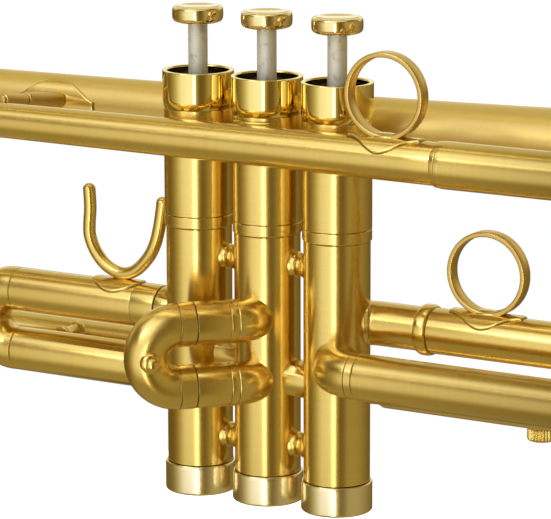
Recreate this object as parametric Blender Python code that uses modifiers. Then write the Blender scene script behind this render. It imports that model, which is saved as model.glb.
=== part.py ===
"""A three-valve B flat trumpet, built from its separate tubes, casings, pistons, slides and fittings.

Metres, +Z up along the valves, +X forward to the bell, +Y to the player's left.
The origin is the middle of the second valve's casing, where the left hand holds the instrument.
"""

import math

import bmesh
import bpy
from mathutils import Matrix, Vector

MM = 0.001
UP = Vector((0, 0, 1))
FORWARD = Vector((1, 0, 0))
LEFT = Vector((0, 1, 0))

# Clearances
GAP = 0.3 * MM
STEP = 0.05 * MM
OVERLAP = 0.4 * MM

# Facets round a turned piece or a tube
CASING_FACETS = 18
TUBE_SIDES = 14
BELL_FACETS = 24
SMALL_SIDES = 10
BEND_STEPS = 6

# Valve block
VALVE_SPACING = 22.48 * MM
CASING_LOWER_RADIUS = 9.35 * MM
CASING_UPPER_RADIUS = 9.75 * MM
CASING_THREAD_RADIUS = 9.15 * MM
PISTON_RADIUS = 8.42 * MM
CASING_STEP_HEIGHT = 17.6 * MM
RING_LINE_HEIGHT = 21.0 * MM
RING_LINE_DEPTH = 0.25 * MM
CAP_BOTTOM = 51.6 * MM
CAP_TOP = 61.9 * MM
CAP_RADIUS = 10.1 * MM
CAP_WALL = 1.42 * MM
CAP_FLOOR = 1.0 * MM
BOTTOM_CAP_TOP = -51.55 * MM
BOTTOM_CAP_BOTTOM = -60.0 * MM
BOTTOM_CAP_FLOOR = 1.2 * MM
CAP_EDGE = 0.5 * MM
CAP_SKIRT = 2.3 * MM

# Pistons
PISTON_TRAVEL = 16.5 * MM
PISTON_TOP = 50.0 * MM
PISTON_BOTTOM = -32.0 * MM
PISTON_WALL = 1.2 * MM
PISTON_CROWN = 4.0 * MM
PISTON_FOOT = 1.5 * MM
PISTON_FOOT_HOLE = 4.0 * MM
STEM_RADIUS = 2.73 * MM
BUTTON_RADIUS = 7.2 * MM
BUTTON_BOTTOM = 76.1 * MM
BUTTON_HEIGHT = 3.8 * MM
BUTTON_DISH = 0.35 * MM
SPRING_RADIUS = 6.2 * MM
SPRING_WIRE = 0.6 * MM
SPRING_TURNS = 4
SPRING_POINTS_A_TURN = 8

# Tubing
TUBE_WALL = 0.45 * MM
SLEEVE_RADIUS = 6.39 * MM
SLEEVE_BORE = 6.0 * MM
LEG_RADIUS = SLEEVE_BORE - GAP
LEG_SHORT = 4.0 * MM
FERRULE_RISE = 0.12 * MM
BEAD_RISE = 0.8 * MM

# Bell, bow and tail
BELL_SIDE = 20.0 * MM
BELL_HEIGHT = 45.8 * MM
BELL_RIM_AT = 270.0 * MM
BELL_BACK_AT = -112.0 * MM
BELL_RIM_RADIUS = 61.5 * MM
BELL_FLARE_POWER = 0.6
BELL_FLARE_SET = 10.4 * MM
BELL_WALL = 0.6 * MM
BELL_RIM_ROLL = 1.4 * MM
BELL_STATIONS = 11
TAIL_HEIGHT = -26.5 * MM
TAIL_RADIUS = 6.0 * MM
BOW_STEPS = 12

# Leadpipe, receiver and mouthpiece
LEADPIPE_SIDE = -18.0 * MM
LEADPIPE_HEIGHT = 45.4 * MM
LEADPIPE_FRONT_AT = 63.2 * MM
LEADPIPE_BACK_AT = -181.0 * MM
LEADPIPE_FRONT_RADIUS = 5.84 * MM
LEADPIPE_BACK_RADIUS = 4.42 * MM
LEADPIPE_WALL = 0.6 * MM
RECEIVER_BACK_AT = -212.0 * MM
RECEIVER_FRONT_AT = -168.0 * MM
RECEIVER_RADIUS = 6.6 * MM
RECEIVER_RING_RADIUS = 7.4 * MM
RECEIVER_RING_LENGTH = 6.0 * MM
RECEIVER_EDGE = 0.8 * MM
RECEIVER_MOUTH_RADIUS = 5.3 * MM
SHANK_INSERT = 24.0 * MM
SHANK_TIP_RADIUS = 4.45 * MM
SHANK_BORE = 3.6 * MM
MOUTHPIECE_LENGTH = 87.0 * MM
MOUTHPIECE_RIM_RADIUS = 13.6 * MM
MOUTHPIECE_CUP_RADIUS = 8.3 * MM
MOUTHPIECE_CUP_DEPTH = 11.0 * MM
MOUTHPIECE_THROAT = 1.85 * MM

# Main tuning slide
TUNING_RADIUS = 6.45 * MM
TUNING_HEIGHT_UPPER = LEADPIPE_HEIGHT
TUNING_HEIGHT_LOWER = -15.7 * MM
TUNING_SLEEVE_FRONT_AT = 136.0 * MM
TUNING_BOW_AT = 141.0 * MM
TUNING_LEG_LENGTH = 62.0 * MM
FERRULE_LENGTH = 5.0 * MM
FERRULE_NECK = 1.6 * MM
ELBOW_EXIT_ANGLE = math.radians(63)
ELBOW_BEND = 10.0 * MM
ELBOW_RADIUS = 6.3 * MM
ELBOW_START = 7.4 * MM
ELBOW_BAND = 2.2 * MM

# First slide, towards the player
FIRST_UPPER_HEIGHT = -8.26 * MM
FIRST_LOWER_HEIGHT = -26.16 * MM
FIRST_SLEEVE_FRONT_AT = -34.7 * MM
FIRST_BOW_AT = -84.8 * MM
FIRST_LEG_LENGTH = 46.0 * MM
FIRST_FERRULE = 8.4 * MM

# Second slide, out to the right and back
SECOND_ANGLE = math.radians(44)
SECOND_UPPER_HEIGHT = -5.7 * MM
SECOND_LOWER_HEIGHT = -23.6 * MM
SECOND_RADIUS = 6.15 * MM
SECOND_BORE = 5.75 * MM
SECOND_BAND = 2.3 * MM
SECOND_SLEEVE_LENGTH = 11.9 * MM
SECOND_BOW_AT = 16.75 * MM
SECOND_LEG_LENGTH = 10.0 * MM
PORT_START = 6.6 * MM
PORT_REACH = 8.5 * MM
PORT_BEND = 8.0 * MM
PORT_STEPS = 4
KNOB_DISC_RADIUS = 2.9 * MM
KNOB_DISC = 1.2 * MM
KNOB_BALL = 1.5 * MM

# Third slide, forward
THIRD_ANGLE = math.radians(30)
THIRD_UPPER_HEIGHT = -6.14 * MM
THIRD_LOWER_HEIGHT = -23.61 * MM
THIRD_STUB_RADIUS = 6.2 * MM
THIRD_NECK_RADIUS = 5.7 * MM
THIRD_NECK_TO = 34.3 * MM
THIRD_BEAD_AT = 46.9 * MM
THIRD_BEAD = 3.5 * MM
THIRD_BOW_AT = 121.0 * MM
THIRD_LEG_LENGTH = 70.0 * MM
LYRE_BOSS_AT = 78.9 * MM
LYRE_BOSS_SIZE = Vector((12.0, 6.0, 11.6)) * MM
LYRE_BOSS_DROP = 2.3 * MM
LYRE_SLOT_SIZE = Vector((14.0, 2.4, 5.0)) * MM
LYRE_SCREW_HEAD_RADIUS = 4.0 * MM
LYRE_SCREW_HEAD = 3.8 * MM
LYRE_SCREW_RADIUS = 1.25 * MM
LYRE_SCREW_FLUTES = 16
LYRE_SCREW_REACH = 4.0 * MM

# Rings, thumb saddle and their saddle plates
RING_RADIUS = 11.85 * MM
RING_BAND = 1.4 * MM
RING_WIDTH = 4.2 * MM
RING_SINK = 1.35 * MM
RING_FACETS = 24
PLATE = 0.6 * MM
PLATE_LENGTH = 22.0 * MM
PLATE_HALF_ANGLE = math.radians(62)
PLATE_TIP_ANGLE = math.radians(20)
PLATE_CURVE = 1.3
FINGER_RING_AT = 47.6 * MM
THIRD_RING_AT = 66.9 * MM
SADDLE_AT = -49.0 * MM
SADDLE_PLATE_LENGTH = 17.2 * MM
SADDLE_BEND = 12.5 * MM
SADDLE_ROD = 1.9 * MM
SADDLE_ARM = 13.0 * MM
SADDLE_TIP = 0.6

# Braces, balusters and knuckles
BALUSTER_HEIGHTS = {"upper": 9.2 * MM, "lower": -42.8 * MM}
BALUSTER_END_RADIUS = 3.6 * MM
BALUSTER_WAIST_RADIUS = 2.3 * MM
BALUSTER_GROOVE = 0.7 * MM
KNUCKLE_RADIUS = 5.3 * MM
KNUCKLE_HEIGHTS = {"1_2": -18.3 * MM, "2_3": -23.6 * MM}
BRACE_ROD = 1.6 * MM
BRACE_SOCKET = 2.3 * MM
BRACE_SOCKET_LENGTH = 6.0 * MM
BRACE_FLANGE_RADIUS = 4.2 * MM
BRACE_FLANGE = 0.8 * MM
FRONT_BRACE_AT = 108.0 * MM
REAR_BRACE_FOOT = Vector((-77.6, 13.4, 46.8)) * MM
REAR_BRACE_END = Vector((-79.3, -17.0, 50.9)) * MM
REAR_BRACE_RADII = (2.2 * MM, 1.75 * MM, 1.3 * MM)
REAR_BRACE_STEPS = (19.0 * MM, 27.0 * MM)
REAR_PLATE_AT = -80.5 * MM
REAR_PLATE_LENGTH = 29.0 * MM
VALVE_PLATE_ANGLE = math.radians(36)
VALVE_PLATE_TOP = 50.4 * MM
VALVE_PLATE_HEIGHT = 8.0 * MM
VALVE_POST_RADIUS = 2.2 * MM

# Water key on the tuning bow
KEY_PIVOT_AT = 139.6 * MM
KEY_PIVOT_DROP = 9.6 * MM
KEY_BARREL_RADIUS = 1.7 * MM
KEY_BARREL_LENGTH = 5.0 * MM
KEY_PIN_RADIUS = 0.8 * MM
KEY_EAR = 1.4 * MM
KEY_EAR_WIDTH = 4.6 * MM
KEY_ARM_RADIUS = 1.2 * MM
KEY_TOUCH_RADIUS = 1.9 * MM
KEY_ARM_SAG = 1.2 * MM
KEY_TOUCH_LENGTH = 23.0 * MM
KEY_TOUCH_DROP = 5.0 * MM
KEY_NIPPLE_ANGLE = math.radians(20)
KEY_NIPPLE_RADIUS = 2.2 * MM
KEY_NIPPLE_HEIGHT = 2.2 * MM
KEY_NIPPLE_SUNK = 1.2 * MM
KEY_PAD_RADIUS = 3.0 * MM
KEY_PAD = 2.0 * MM
TUNING_BRACE_ROD = 2.0 * MM

# Colour, roughness and metallic value of each finish
FINISHES = {
    "satin_brass": ((0.61, 0.43, 0.10, 1), 0.34, 1.0),
    "polished_brass": ((0.80, 0.58, 0.16, 1), 0.12, 1.0),
    "nickel_steel": ((0.60, 0.58, 0.55, 1), 0.35, 1.0),
    "spring_steel": ((0.45, 0.45, 0.46, 1), 0.40, 1.0),
    "brown_felt": ((0.05, 0.02, 0.01, 1), 0.95, 0.0),
    "cork": ((0.45, 0.28, 0.14, 1), 0.90, 0.0),
    "silver_plate": ((0.82, 0.81, 0.78, 1), 0.12, 1.0),
}


def clear_scene():
    """Removes every object of the startup scene."""
    for old in list(bpy.data.objects):
        bpy.data.objects.remove(old)


def new_collection(name, hidden):
    """A collection in the scene, hidden from renders where it holds only cutters."""
    collection = bpy.data.collections.new(name)
    collection.hide_render = hidden
    bpy.context.scene.collection.children.link(collection)
    return collection


def finish_material(name, finish):
    """A Principled material of one piece, from its finish."""
    colour, roughness, metallic = FINISHES[finish]
    material = bpy.data.materials.new(name)
    material.use_nodes = True
    shader = material.node_tree.nodes["Principled BSDF"]
    shader.inputs["Base Color"].default_value = colour
    shader.inputs["Roughness"].default_value = roughness
    shader.inputs["Metallic"].default_value = metallic
    return material


def add_piece(name, data, finish, place):
    """A named piece in the trumpet's collection, or a hidden cutter where it has no finish."""
    piece = bpy.data.objects.new(name, data)
    piece.matrix_world = place
    if finish:
        data.materials.append(finish_material(name, finish))
        PARTS.objects.link(piece)
    else:
        piece.hide_render = True
        piece.display_type = "WIRE"
        CUTTERS.objects.link(piece)
    return piece


def facing(direction, at):
    """The placing that puts local Z along a direction, with the local origin at a point."""
    turn = Vector(direction).to_track_quat("Z", "Y").to_matrix().to_4x4()
    return Matrix.Translation(Vector(at)) @ turn


def turned(name, profile, finish, place, facets=TUBE_SIDES, hollow=False):
    """A profile of (radius, height) points turned round local Z. A hollow profile is a closed loop."""
    mesh = bpy.data.meshes.new(name)
    count = len(profile)
    edges = [(i, (i + 1) % count) for i in range(count if hollow else count - 1)]
    mesh.from_pydata([(radius, 0, height) for radius, height in profile], edges, [])
    piece = add_piece(name, mesh, finish, place)
    screw = piece.modifiers.new("turn", "SCREW")
    screw.steps = screw.render_steps = facets
    screw.use_merge_vertices = True
    screw.merge_threshold = 0.00001
    screw.use_smooth_shade = True
    return piece


def pipe_profile(outer, bore):
    """A hollow profile: its outer side from top to bottom, then its bore from bottom to top."""
    return outer + [(bore, outer[-1][1]), (bore, outer[0][1])]


def tube_curve(name, path, radii, sides, finish, wall=None):
    """A round tube along a path, with its own radius at each point. Without a wall it is a solid rod."""
    largest = max(radii)
    curve = bpy.data.curves.new(name, "CURVE")
    curve.dimensions = "3D"
    curve.bevel_depth = largest
    curve.bevel_resolution = (sides - 4) // 2
    curve.use_fill_caps = wall is None
    spline = curve.splines.new("POLY")
    spline.points.add(len(path) - 1)
    for point, at, radius in zip(spline.points, path, radii):
        point.co = (*at, 1)
        point.radius = radius / largest
    spline.use_smooth = True
    piece = add_piece(name, curve, finish, Matrix())
    if wall:
        shell = piece.modifiers.new("wall", "SOLIDIFY")
        shell.thickness = wall
        shell.offset = -1
    return piece


def as_mesh(piece, finish):
    """A curve made into a mesh piece of the same name, so that it can be cut or joined."""
    name = piece.name
    bpy.context.view_layer.update()
    graph = bpy.context.evaluated_depsgraph_get()
    mesh = bpy.data.meshes.new_from_object(piece.evaluated_get(graph))
    place = piece.matrix_world.copy()
    bpy.data.objects.remove(piece)
    shape = bmesh.new()
    shape.from_mesh(mesh)
    bmesh.ops.remove_doubles(shape, verts=shape.verts, dist=0.000001)
    bmesh.ops.recalc_face_normals(shape, faces=shape.faces)
    shape.to_mesh(mesh)
    shape.free()
    mesh.materials.clear()
    mesh.shade_smooth()
    return add_piece(name, mesh, finish, place)


def block(name, size, at, finish=None):
    """A box of a size, centred on a point."""
    mesh = bpy.data.meshes.new(name)
    shape = bmesh.new()
    bmesh.ops.create_cube(shape, size=1, matrix=Matrix.Diagonal((*size, 1)))
    shape.to_mesh(mesh)
    shape.free()
    return add_piece(name, mesh, finish, Matrix.Translation(at))


def rod(name, radius, start, end, finish=None, sides=SMALL_SIDES):
    """A plain round rod from one point to another."""
    reach = Vector(end) - Vector(start)
    profile = [(0, reach.length), (radius, reach.length), (radius, 0), (0, 0)]
    return turned(name, profile, finish, facing(reach, start), sides)


def combine(piece, other, operation):
    """Cuts another piece from this one, or joins it on."""
    boolean = piece.modifiers.new(operation.lower(), "BOOLEAN")
    boolean.operation = operation
    boolean.object = other


def cope(piece, valve):
    """Shapes a tube's end to the casing that it meets."""
    combine(piece, CASING_CUTTERS[valve], "DIFFERENCE")


def bend(start, heading, side, radius, angle, steps=BEND_STEPS):
    """Points on an arc that leaves a point along a heading and turns towards a side."""
    points = []
    for i in range(1, steps + 1):
        turn = angle * i / steps
        points.append(start + radius * (math.sin(turn) * heading + (1 - math.cos(turn)) * side))
    return points


def valve_x(number):
    """The place of a valve's axis along the instrument."""
    return (number - 2) * VALVE_SPACING


def carry(name, at, pieces):
    """An empty on a joint's axis that carries the pieces which move together."""
    empty = bpy.data.objects.new(name, None)
    empty.empty_display_size = 10 * MM
    empty.location = at
    PARTS.objects.link(empty)
    for piece in pieces:
        piece.parent = empty
        piece.matrix_parent_inverse = Matrix.Translation(-Vector(at))


def casing_cutters():
    """Plain cylinders of each lower casing's size plus the gap, to shape the tubes that meet it."""
    cutters = {}
    for number in (1, 2, 3):
        at = Vector((valve_x(number), 0, BOTTOM_CAP_BOTTOM))
        top = at + UP * (CASING_STEP_HEIGHT - BOTTOM_CAP_BOTTOM)
        name = f"casing_space_{number}"
        cutters[number] = rod(name, CASING_LOWER_RADIUS + GAP, at, top, None, CASING_FACETS)
    return cutters


def make_valve(number):
    """One valve: casing, caps and felt, and the piston with its stem, button and spring."""
    place = Matrix.Translation((valve_x(number), 0, 0))
    bore = PISTON_RADIUS + GAP
    cap_bore = CAP_RADIUS - CAP_WALL
    shoulder = CAP_BOTTOM - GAP
    skirt_top = shoulder + CAP_SKIRT
    floor_under = skirt_top + GAP
    line = RING_LINE_DEPTH
    casing = [
        (CASING_THREAD_RADIUS, skirt_top),
        (CASING_THREAD_RADIUS, shoulder),
        (CASING_UPPER_RADIUS, shoulder),
        (CASING_UPPER_RADIUS, RING_LINE_HEIGHT + line),
        (CASING_UPPER_RADIUS - line, RING_LINE_HEIGHT),
        (CASING_UPPER_RADIUS, RING_LINE_HEIGHT - line),
        (CASING_UPPER_RADIUS, CASING_STEP_HEIGHT + line),
        (CASING_LOWER_RADIUS, CASING_STEP_HEIGHT),
        (CASING_LOWER_RADIUS, BOTTOM_CAP_TOP + GAP),
        (CASING_THREAD_RADIUS - GAP / 2, BOTTOM_CAP_TOP + GAP),
        (CASING_THREAD_RADIUS - GAP / 2, BOTTOM_CAP_BOTTOM + BOTTOM_CAP_FLOOR + GAP),
    ]
    turned(f"casing_{number}", pipe_profile(casing, bore), "satin_brass", place, CASING_FACETS, True)

    stem_hole = STEM_RADIUS + GAP
    top_cap = [
        (CAP_RADIUS - CAP_EDGE, CAP_TOP),
        (CAP_RADIUS, CAP_TOP - CAP_EDGE),
        (CAP_RADIUS, CAP_BOTTOM + 2 * CAP_EDGE),
        (CAP_RADIUS - CAP_EDGE / 2, CAP_BOTTOM),
        (CASING_THREAD_RADIUS + GAP, CAP_BOTTOM),
        (CASING_THREAD_RADIUS + GAP, floor_under),
        (stem_hole, floor_under),
        (stem_hole, floor_under + CAP_FLOOR),
        (cap_bore, floor_under + CAP_FLOOR),
        (cap_bore, CAP_TOP),
    ]
    turned(f"top_cap_{number}", top_cap, "polished_brass", place, CASING_FACETS, True)

    felt_bottom = floor_under + CAP_FLOOR + GAP
    felt_top = BUTTON_BOTTOM - PISTON_TRAVEL - GAP
    felt_radius = cap_bore - GAP
    felt = pipe_profile([(felt_radius, felt_top), (felt_radius, felt_bottom)], stem_hole + GAP)
    turned(f"cap_felt_{number}", felt, "brown_felt", place, CASING_FACETS, True)

    cap_inside = CASING_THREAD_RADIUS + GAP / 2
    bottom_cap = [
        (0, BOTTOM_CAP_BOTTOM + BOTTOM_CAP_FLOOR),
        (cap_inside, BOTTOM_CAP_BOTTOM + BOTTOM_CAP_FLOOR),
        (cap_inside, BOTTOM_CAP_TOP),
        (CAP_RADIUS - CAP_EDGE / 2, BOTTOM_CAP_TOP),
        (CAP_RADIUS, BOTTOM_CAP_TOP - CAP_EDGE),
        (CAP_RADIUS, BOTTOM_CAP_BOTTOM + 2 * CAP_EDGE),
        (CAP_RADIUS - CAP_EDGE, BOTTOM_CAP_BOTTOM),
        (0, BOTTOM_CAP_BOTTOM),
    ]
    turned(f"bottom_cap_{number}", bottom_cap, "polished_brass", place, CASING_FACETS)

    piston_bore = PISTON_RADIUS - PISTON_WALL
    piston = [
        (0, PISTON_TOP),
        (PISTON_RADIUS, PISTON_TOP),
        (PISTON_RADIUS, PISTON_BOTTOM),
        (PISTON_FOOT_HOLE, PISTON_BOTTOM),
        (PISTON_FOOT_HOLE, PISTON_BOTTOM + PISTON_FOOT),
        (piston_bore, PISTON_BOTTOM + PISTON_FOOT),
        (piston_bore, PISTON_TOP - PISTON_CROWN),
        (0, PISTON_TOP - PISTON_CROWN),
    ]
    moving = [turned(f"piston_{number}", piston, "nickel_steel", place, CASING_FACETS)]

    stem_foot = (valve_x(number), 0, PISTON_TOP + GAP)
    stem_head = (valve_x(number), 0, BUTTON_BOTTOM - GAP)
    moving.append(rod(f"stem_{number}", STEM_RADIUS, stem_foot, stem_head, "nickel_steel"))

    top = BUTTON_BOTTOM + BUTTON_HEIGHT
    button = [
        (0, top - BUTTON_DISH),
        (0.7 * BUTTON_RADIUS, top - BUTTON_DISH / 2),
        (0.88 * BUTTON_RADIUS, top),
        (BUTTON_RADIUS, top - 0.25 * BUTTON_HEIGHT),
        (0.97 * BUTTON_RADIUS, top - 0.7 * BUTTON_HEIGHT),
        (0.84 * BUTTON_RADIUS, BUTTON_BOTTOM),
        (0, BUTTON_BOTTOM),
    ]
    moving.append(turned(f"finger_button_{number}", button, "polished_brass", place, CASING_FACETS))
    moving.append(make_valve_spring(number))
    carry(f"valve_{number}", (valve_x(number), 0, 0), moving)


def make_valve_spring(number):
    """The coil under a piston, from the bottom cap's floor to the piston's foot."""
    low = BOTTOM_CAP_BOTTOM + BOTTOM_CAP_FLOOR + GAP + SPRING_WIRE
    high = PISTON_BOTTOM - GAP - SPRING_WIRE
    count = SPRING_TURNS * SPRING_POINTS_A_TURN
    path = []
    for i in range(count + 1):
        turn = math.tau * i / SPRING_POINTS_A_TURN
        across = SPRING_RADIUS * math.cos(turn)
        along = SPRING_RADIUS * math.sin(turn)
        path.append(Vector((valve_x(number) + across, along, low + (high - low) * i / count)))
    one_turn = SPRING_POINTS_A_TURN
    least = min((path[i + one_turn] - path[i]).length for i in range(count + 1 - one_turn))
    print(f"valve_spring_{number}: least gap {(least - 2 * SPRING_WIRE) / MM:.2f} mm")
    return tube_curve(f"valve_spring_{number}", path, [SPRING_WIRE] * len(path), 6, "spring_steel")


def make_links():
    """The balusters and the short air knuckles that join the casings."""
    for first in (1, 2):
        pair = f"{first}_{first + 1}"
        start = valve_x(first)
        half = VALVE_SPACING / 2
        end, waist, groove = BALUSTER_END_RADIUS, BALUSTER_WAIST_RADIUS, BALUSTER_GROOVE
        for level, height in BALUSTER_HEIGHTS.items():
            spool = [
                (0, VALVE_SPACING),
                (end, VALVE_SPACING),
                (end, half + groove + STEP),
                (waist, half + groove),
                (waist, half - groove),
                (end, half - groove - STEP),
                (end, 0),
                (0, 0),
            ]
            place = facing(FORWARD, (start, 0, height))
            baluster = turned(f"baluster_{level}_{pair}", spool, "satin_brass", place, SMALL_SIDES)
            cope(baluster, first)
            cope(baluster, first + 1)
        outer = [(KNUCKLE_RADIUS, VALVE_SPACING), (KNUCKLE_RADIUS, 0)]
        tube = pipe_profile(outer, KNUCKLE_RADIUS - TUBE_WALL)
        place = facing(FORWARD, (start, 0, KNUCKLE_HEIGHTS[pair]))
        knuckle = turned(f"knuckle_{pair}", tube, "satin_brass", place, TUBE_SIDES, True)
        cope(knuckle, first)
        cope(knuckle, first + 1)


def bell_radius(at):
    """The bell's outer radius: a power of the distance behind its rim."""
    share = (BELL_RIM_AT - at + BELL_FLARE_SET) / BELL_FLARE_SET
    return BELL_RIM_RADIUS * share ** -BELL_FLARE_POWER


def make_bell():
    """The flared bell, open at both ends, with a rolled rim."""
    length = BELL_RIM_AT - BELL_BACK_AT
    outer = []
    for i in range(BELL_STATIONS + 1):
        at = BELL_RIM_AT - length * (i / BELL_STATIONS) ** 2.2
        outer.append((bell_radius(at), at - BELL_BACK_AT))
    inner = [(radius - BELL_WALL, height) for radius, height in reversed(outer)]
    roll = [
        (BELL_RIM_RADIUS - BELL_WALL, length + BELL_RIM_ROLL),
        (BELL_RIM_RADIUS + BELL_RIM_ROLL / 2, length + BELL_RIM_ROLL),
        (BELL_RIM_RADIUS + BELL_RIM_ROLL, length + BELL_RIM_ROLL / 2),
        (BELL_RIM_RADIUS + BELL_RIM_ROLL / 2, length - BELL_RIM_ROLL / 2),
    ]
    place = facing(FORWARD, (BELL_BACK_AT, BELL_SIDE, BELL_HEIGHT))
    turned("bell", roll + outer[1:] + inner[:-1], "satin_brass", place, BELL_FACETS, True)


def make_bell_bow():
    """The bow behind the bell and the tail that runs forward from it into the first valve."""
    back = BELL_BACK_AT - GAP
    radius = (BELL_HEIGHT - TAIL_HEIGHT) / 2
    elbow = BELL_SIDE - CASING_LOWER_RADIUS - GAP
    start = Vector((back, BELL_SIDE, BELL_HEIGHT))
    bend_at = start - FORWARD * MM
    path = [start, bend_at] + bend(bend_at, -FORWARD, -UP, radius, math.pi, BOW_STEPS)
    turn_at = Vector((valve_x(1) - elbow, BELL_SIDE, TAIL_HEIGHT))
    path += [path[-1].lerp(turn_at, share) for share in (0.33, 0.67)] + [turn_at]
    path += bend(turn_at, FORWARD, -LEFT, elbow, math.pi / 2)
    path.append(path[-1] - LEFT * 2 * MM)
    first = bell_radius(BELL_BACK_AT)
    last = len(path) - 1
    radii = [first + (TAIL_RADIUS - first) * min(1, i / BOW_STEPS) for i in range(last + 1)]
    curve = tube_curve("bell_bow", path, radii, TUBE_SIDES, "satin_brass", BELL_WALL)
    bow = as_mesh(curve, "satin_brass")
    cope(bow, 1)


def leadpipe_radius(at):
    """The leadpipe's outer radius along its straight taper."""
    share = (at - LEADPIPE_BACK_AT) / (LEADPIPE_FRONT_AT - LEADPIPE_BACK_AT)
    return LEADPIPE_BACK_RADIUS + share * (LEADPIPE_FRONT_RADIUS - LEADPIPE_BACK_RADIUS)


def make_leadpipe():
    """The tapered leadpipe, the receiver on its back end and the mouthpiece in the receiver."""
    length = LEADPIPE_FRONT_AT - LEADPIPE_BACK_AT
    place = facing(FORWARD, (LEADPIPE_BACK_AT, LEADPIPE_SIDE, LEADPIPE_HEIGHT))
    pipe = [
        (LEADPIPE_FRONT_RADIUS, length),
        (LEADPIPE_BACK_RADIUS, 0),
        (LEADPIPE_BACK_RADIUS - LEADPIPE_WALL, 0),
        (LEADPIPE_FRONT_RADIUS - LEADPIPE_WALL, length),
    ]
    turned("leadpipe", pipe, "satin_brass", place, TUBE_SIDES, True)

    reach = RECEIVER_FRONT_AT - RECEIVER_BACK_AT
    socket = leadpipe_radius(RECEIVER_FRONT_AT) + GAP
    back = Vector((RECEIVER_BACK_AT, LEADPIPE_SIDE, LEADPIPE_HEIGHT))
    receiver = [
        (RECEIVER_RADIUS - RECEIVER_EDGE, reach),
        (RECEIVER_RADIUS, reach - 3 * RECEIVER_EDGE),
        (RECEIVER_RADIUS, RECEIVER_RING_LENGTH),
        (RECEIVER_RING_RADIUS, RECEIVER_RING_LENGTH - RECEIVER_EDGE),
        (RECEIVER_RING_RADIUS, 0),
        (RECEIVER_MOUTH_RADIUS, 0),
        (socket, reach),
    ]
    turned("mouthpiece_receiver", receiver, "satin_brass", facing(FORWARD, back), TUBE_SIDES, True)

    whole = MOUTHPIECE_LENGTH
    rim, cup = MOUTHPIECE_RIM_RADIUS, MOUTHPIECE_CUP_RADIUS
    shank = RECEIVER_MOUTH_RADIUS - GAP
    outline = [
        (SHANK_TIP_RADIUS, whole),
        (shank, whole - SHANK_INSERT),
        (1.08 * shank, 0.52 * whole),
        (1.5 * shank, 0.38 * whole),
        (0.82 * rim, 0.24 * whole),
        (0.92 * rim, 0.07 * whole),
        (rim, 0.05 * whole),
        (0.97 * rim, 0.01 * whole),
        (0.84 * rim, 0),
        (cup, 0.02 * whole),
        (0.9 * cup, 0.5 * MOUTHPIECE_CUP_DEPTH),
        (0.6 * cup, 0.85 * MOUTHPIECE_CUP_DEPTH),
        (MOUTHPIECE_THROAT, 1.2 * MOUTHPIECE_CUP_DEPTH),
        (MOUTHPIECE_THROAT, 1.6 * MOUTHPIECE_CUP_DEPTH),
        (SHANK_BORE, whole),
    ]
    lip = back + FORWARD * (SHANK_INSERT - whole)
    mouthpiece = turned("mouthpiece", outline, "silver_plate", facing(FORWARD, lip), CASING_FACETS, True)
    carry("mouthpiece_pull", back, [mouthpiece])


def slide_path(axis, heading, upper, lower, bow_at, steps=BEND_STEPS):
    """A U-shaped path: out along the upper leg, round the bow and back along the lower leg.

    upper and lower are each the leg's height, the place where the thin leg ends and where it starts.
    """
    def at(along, height):
        return Vector((axis[0], axis[1], height)) + heading * along

    radius = (upper[0] - lower[0]) / 2
    out = [at(along, upper[0]) for along in upper[1:]] + [at(bow_at, upper[0])]
    turn = bend(out[-1], heading, -UP, radius, math.pi, steps)
    return out + turn + [at(along, lower[0]) for along in lower[1:]]


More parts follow.
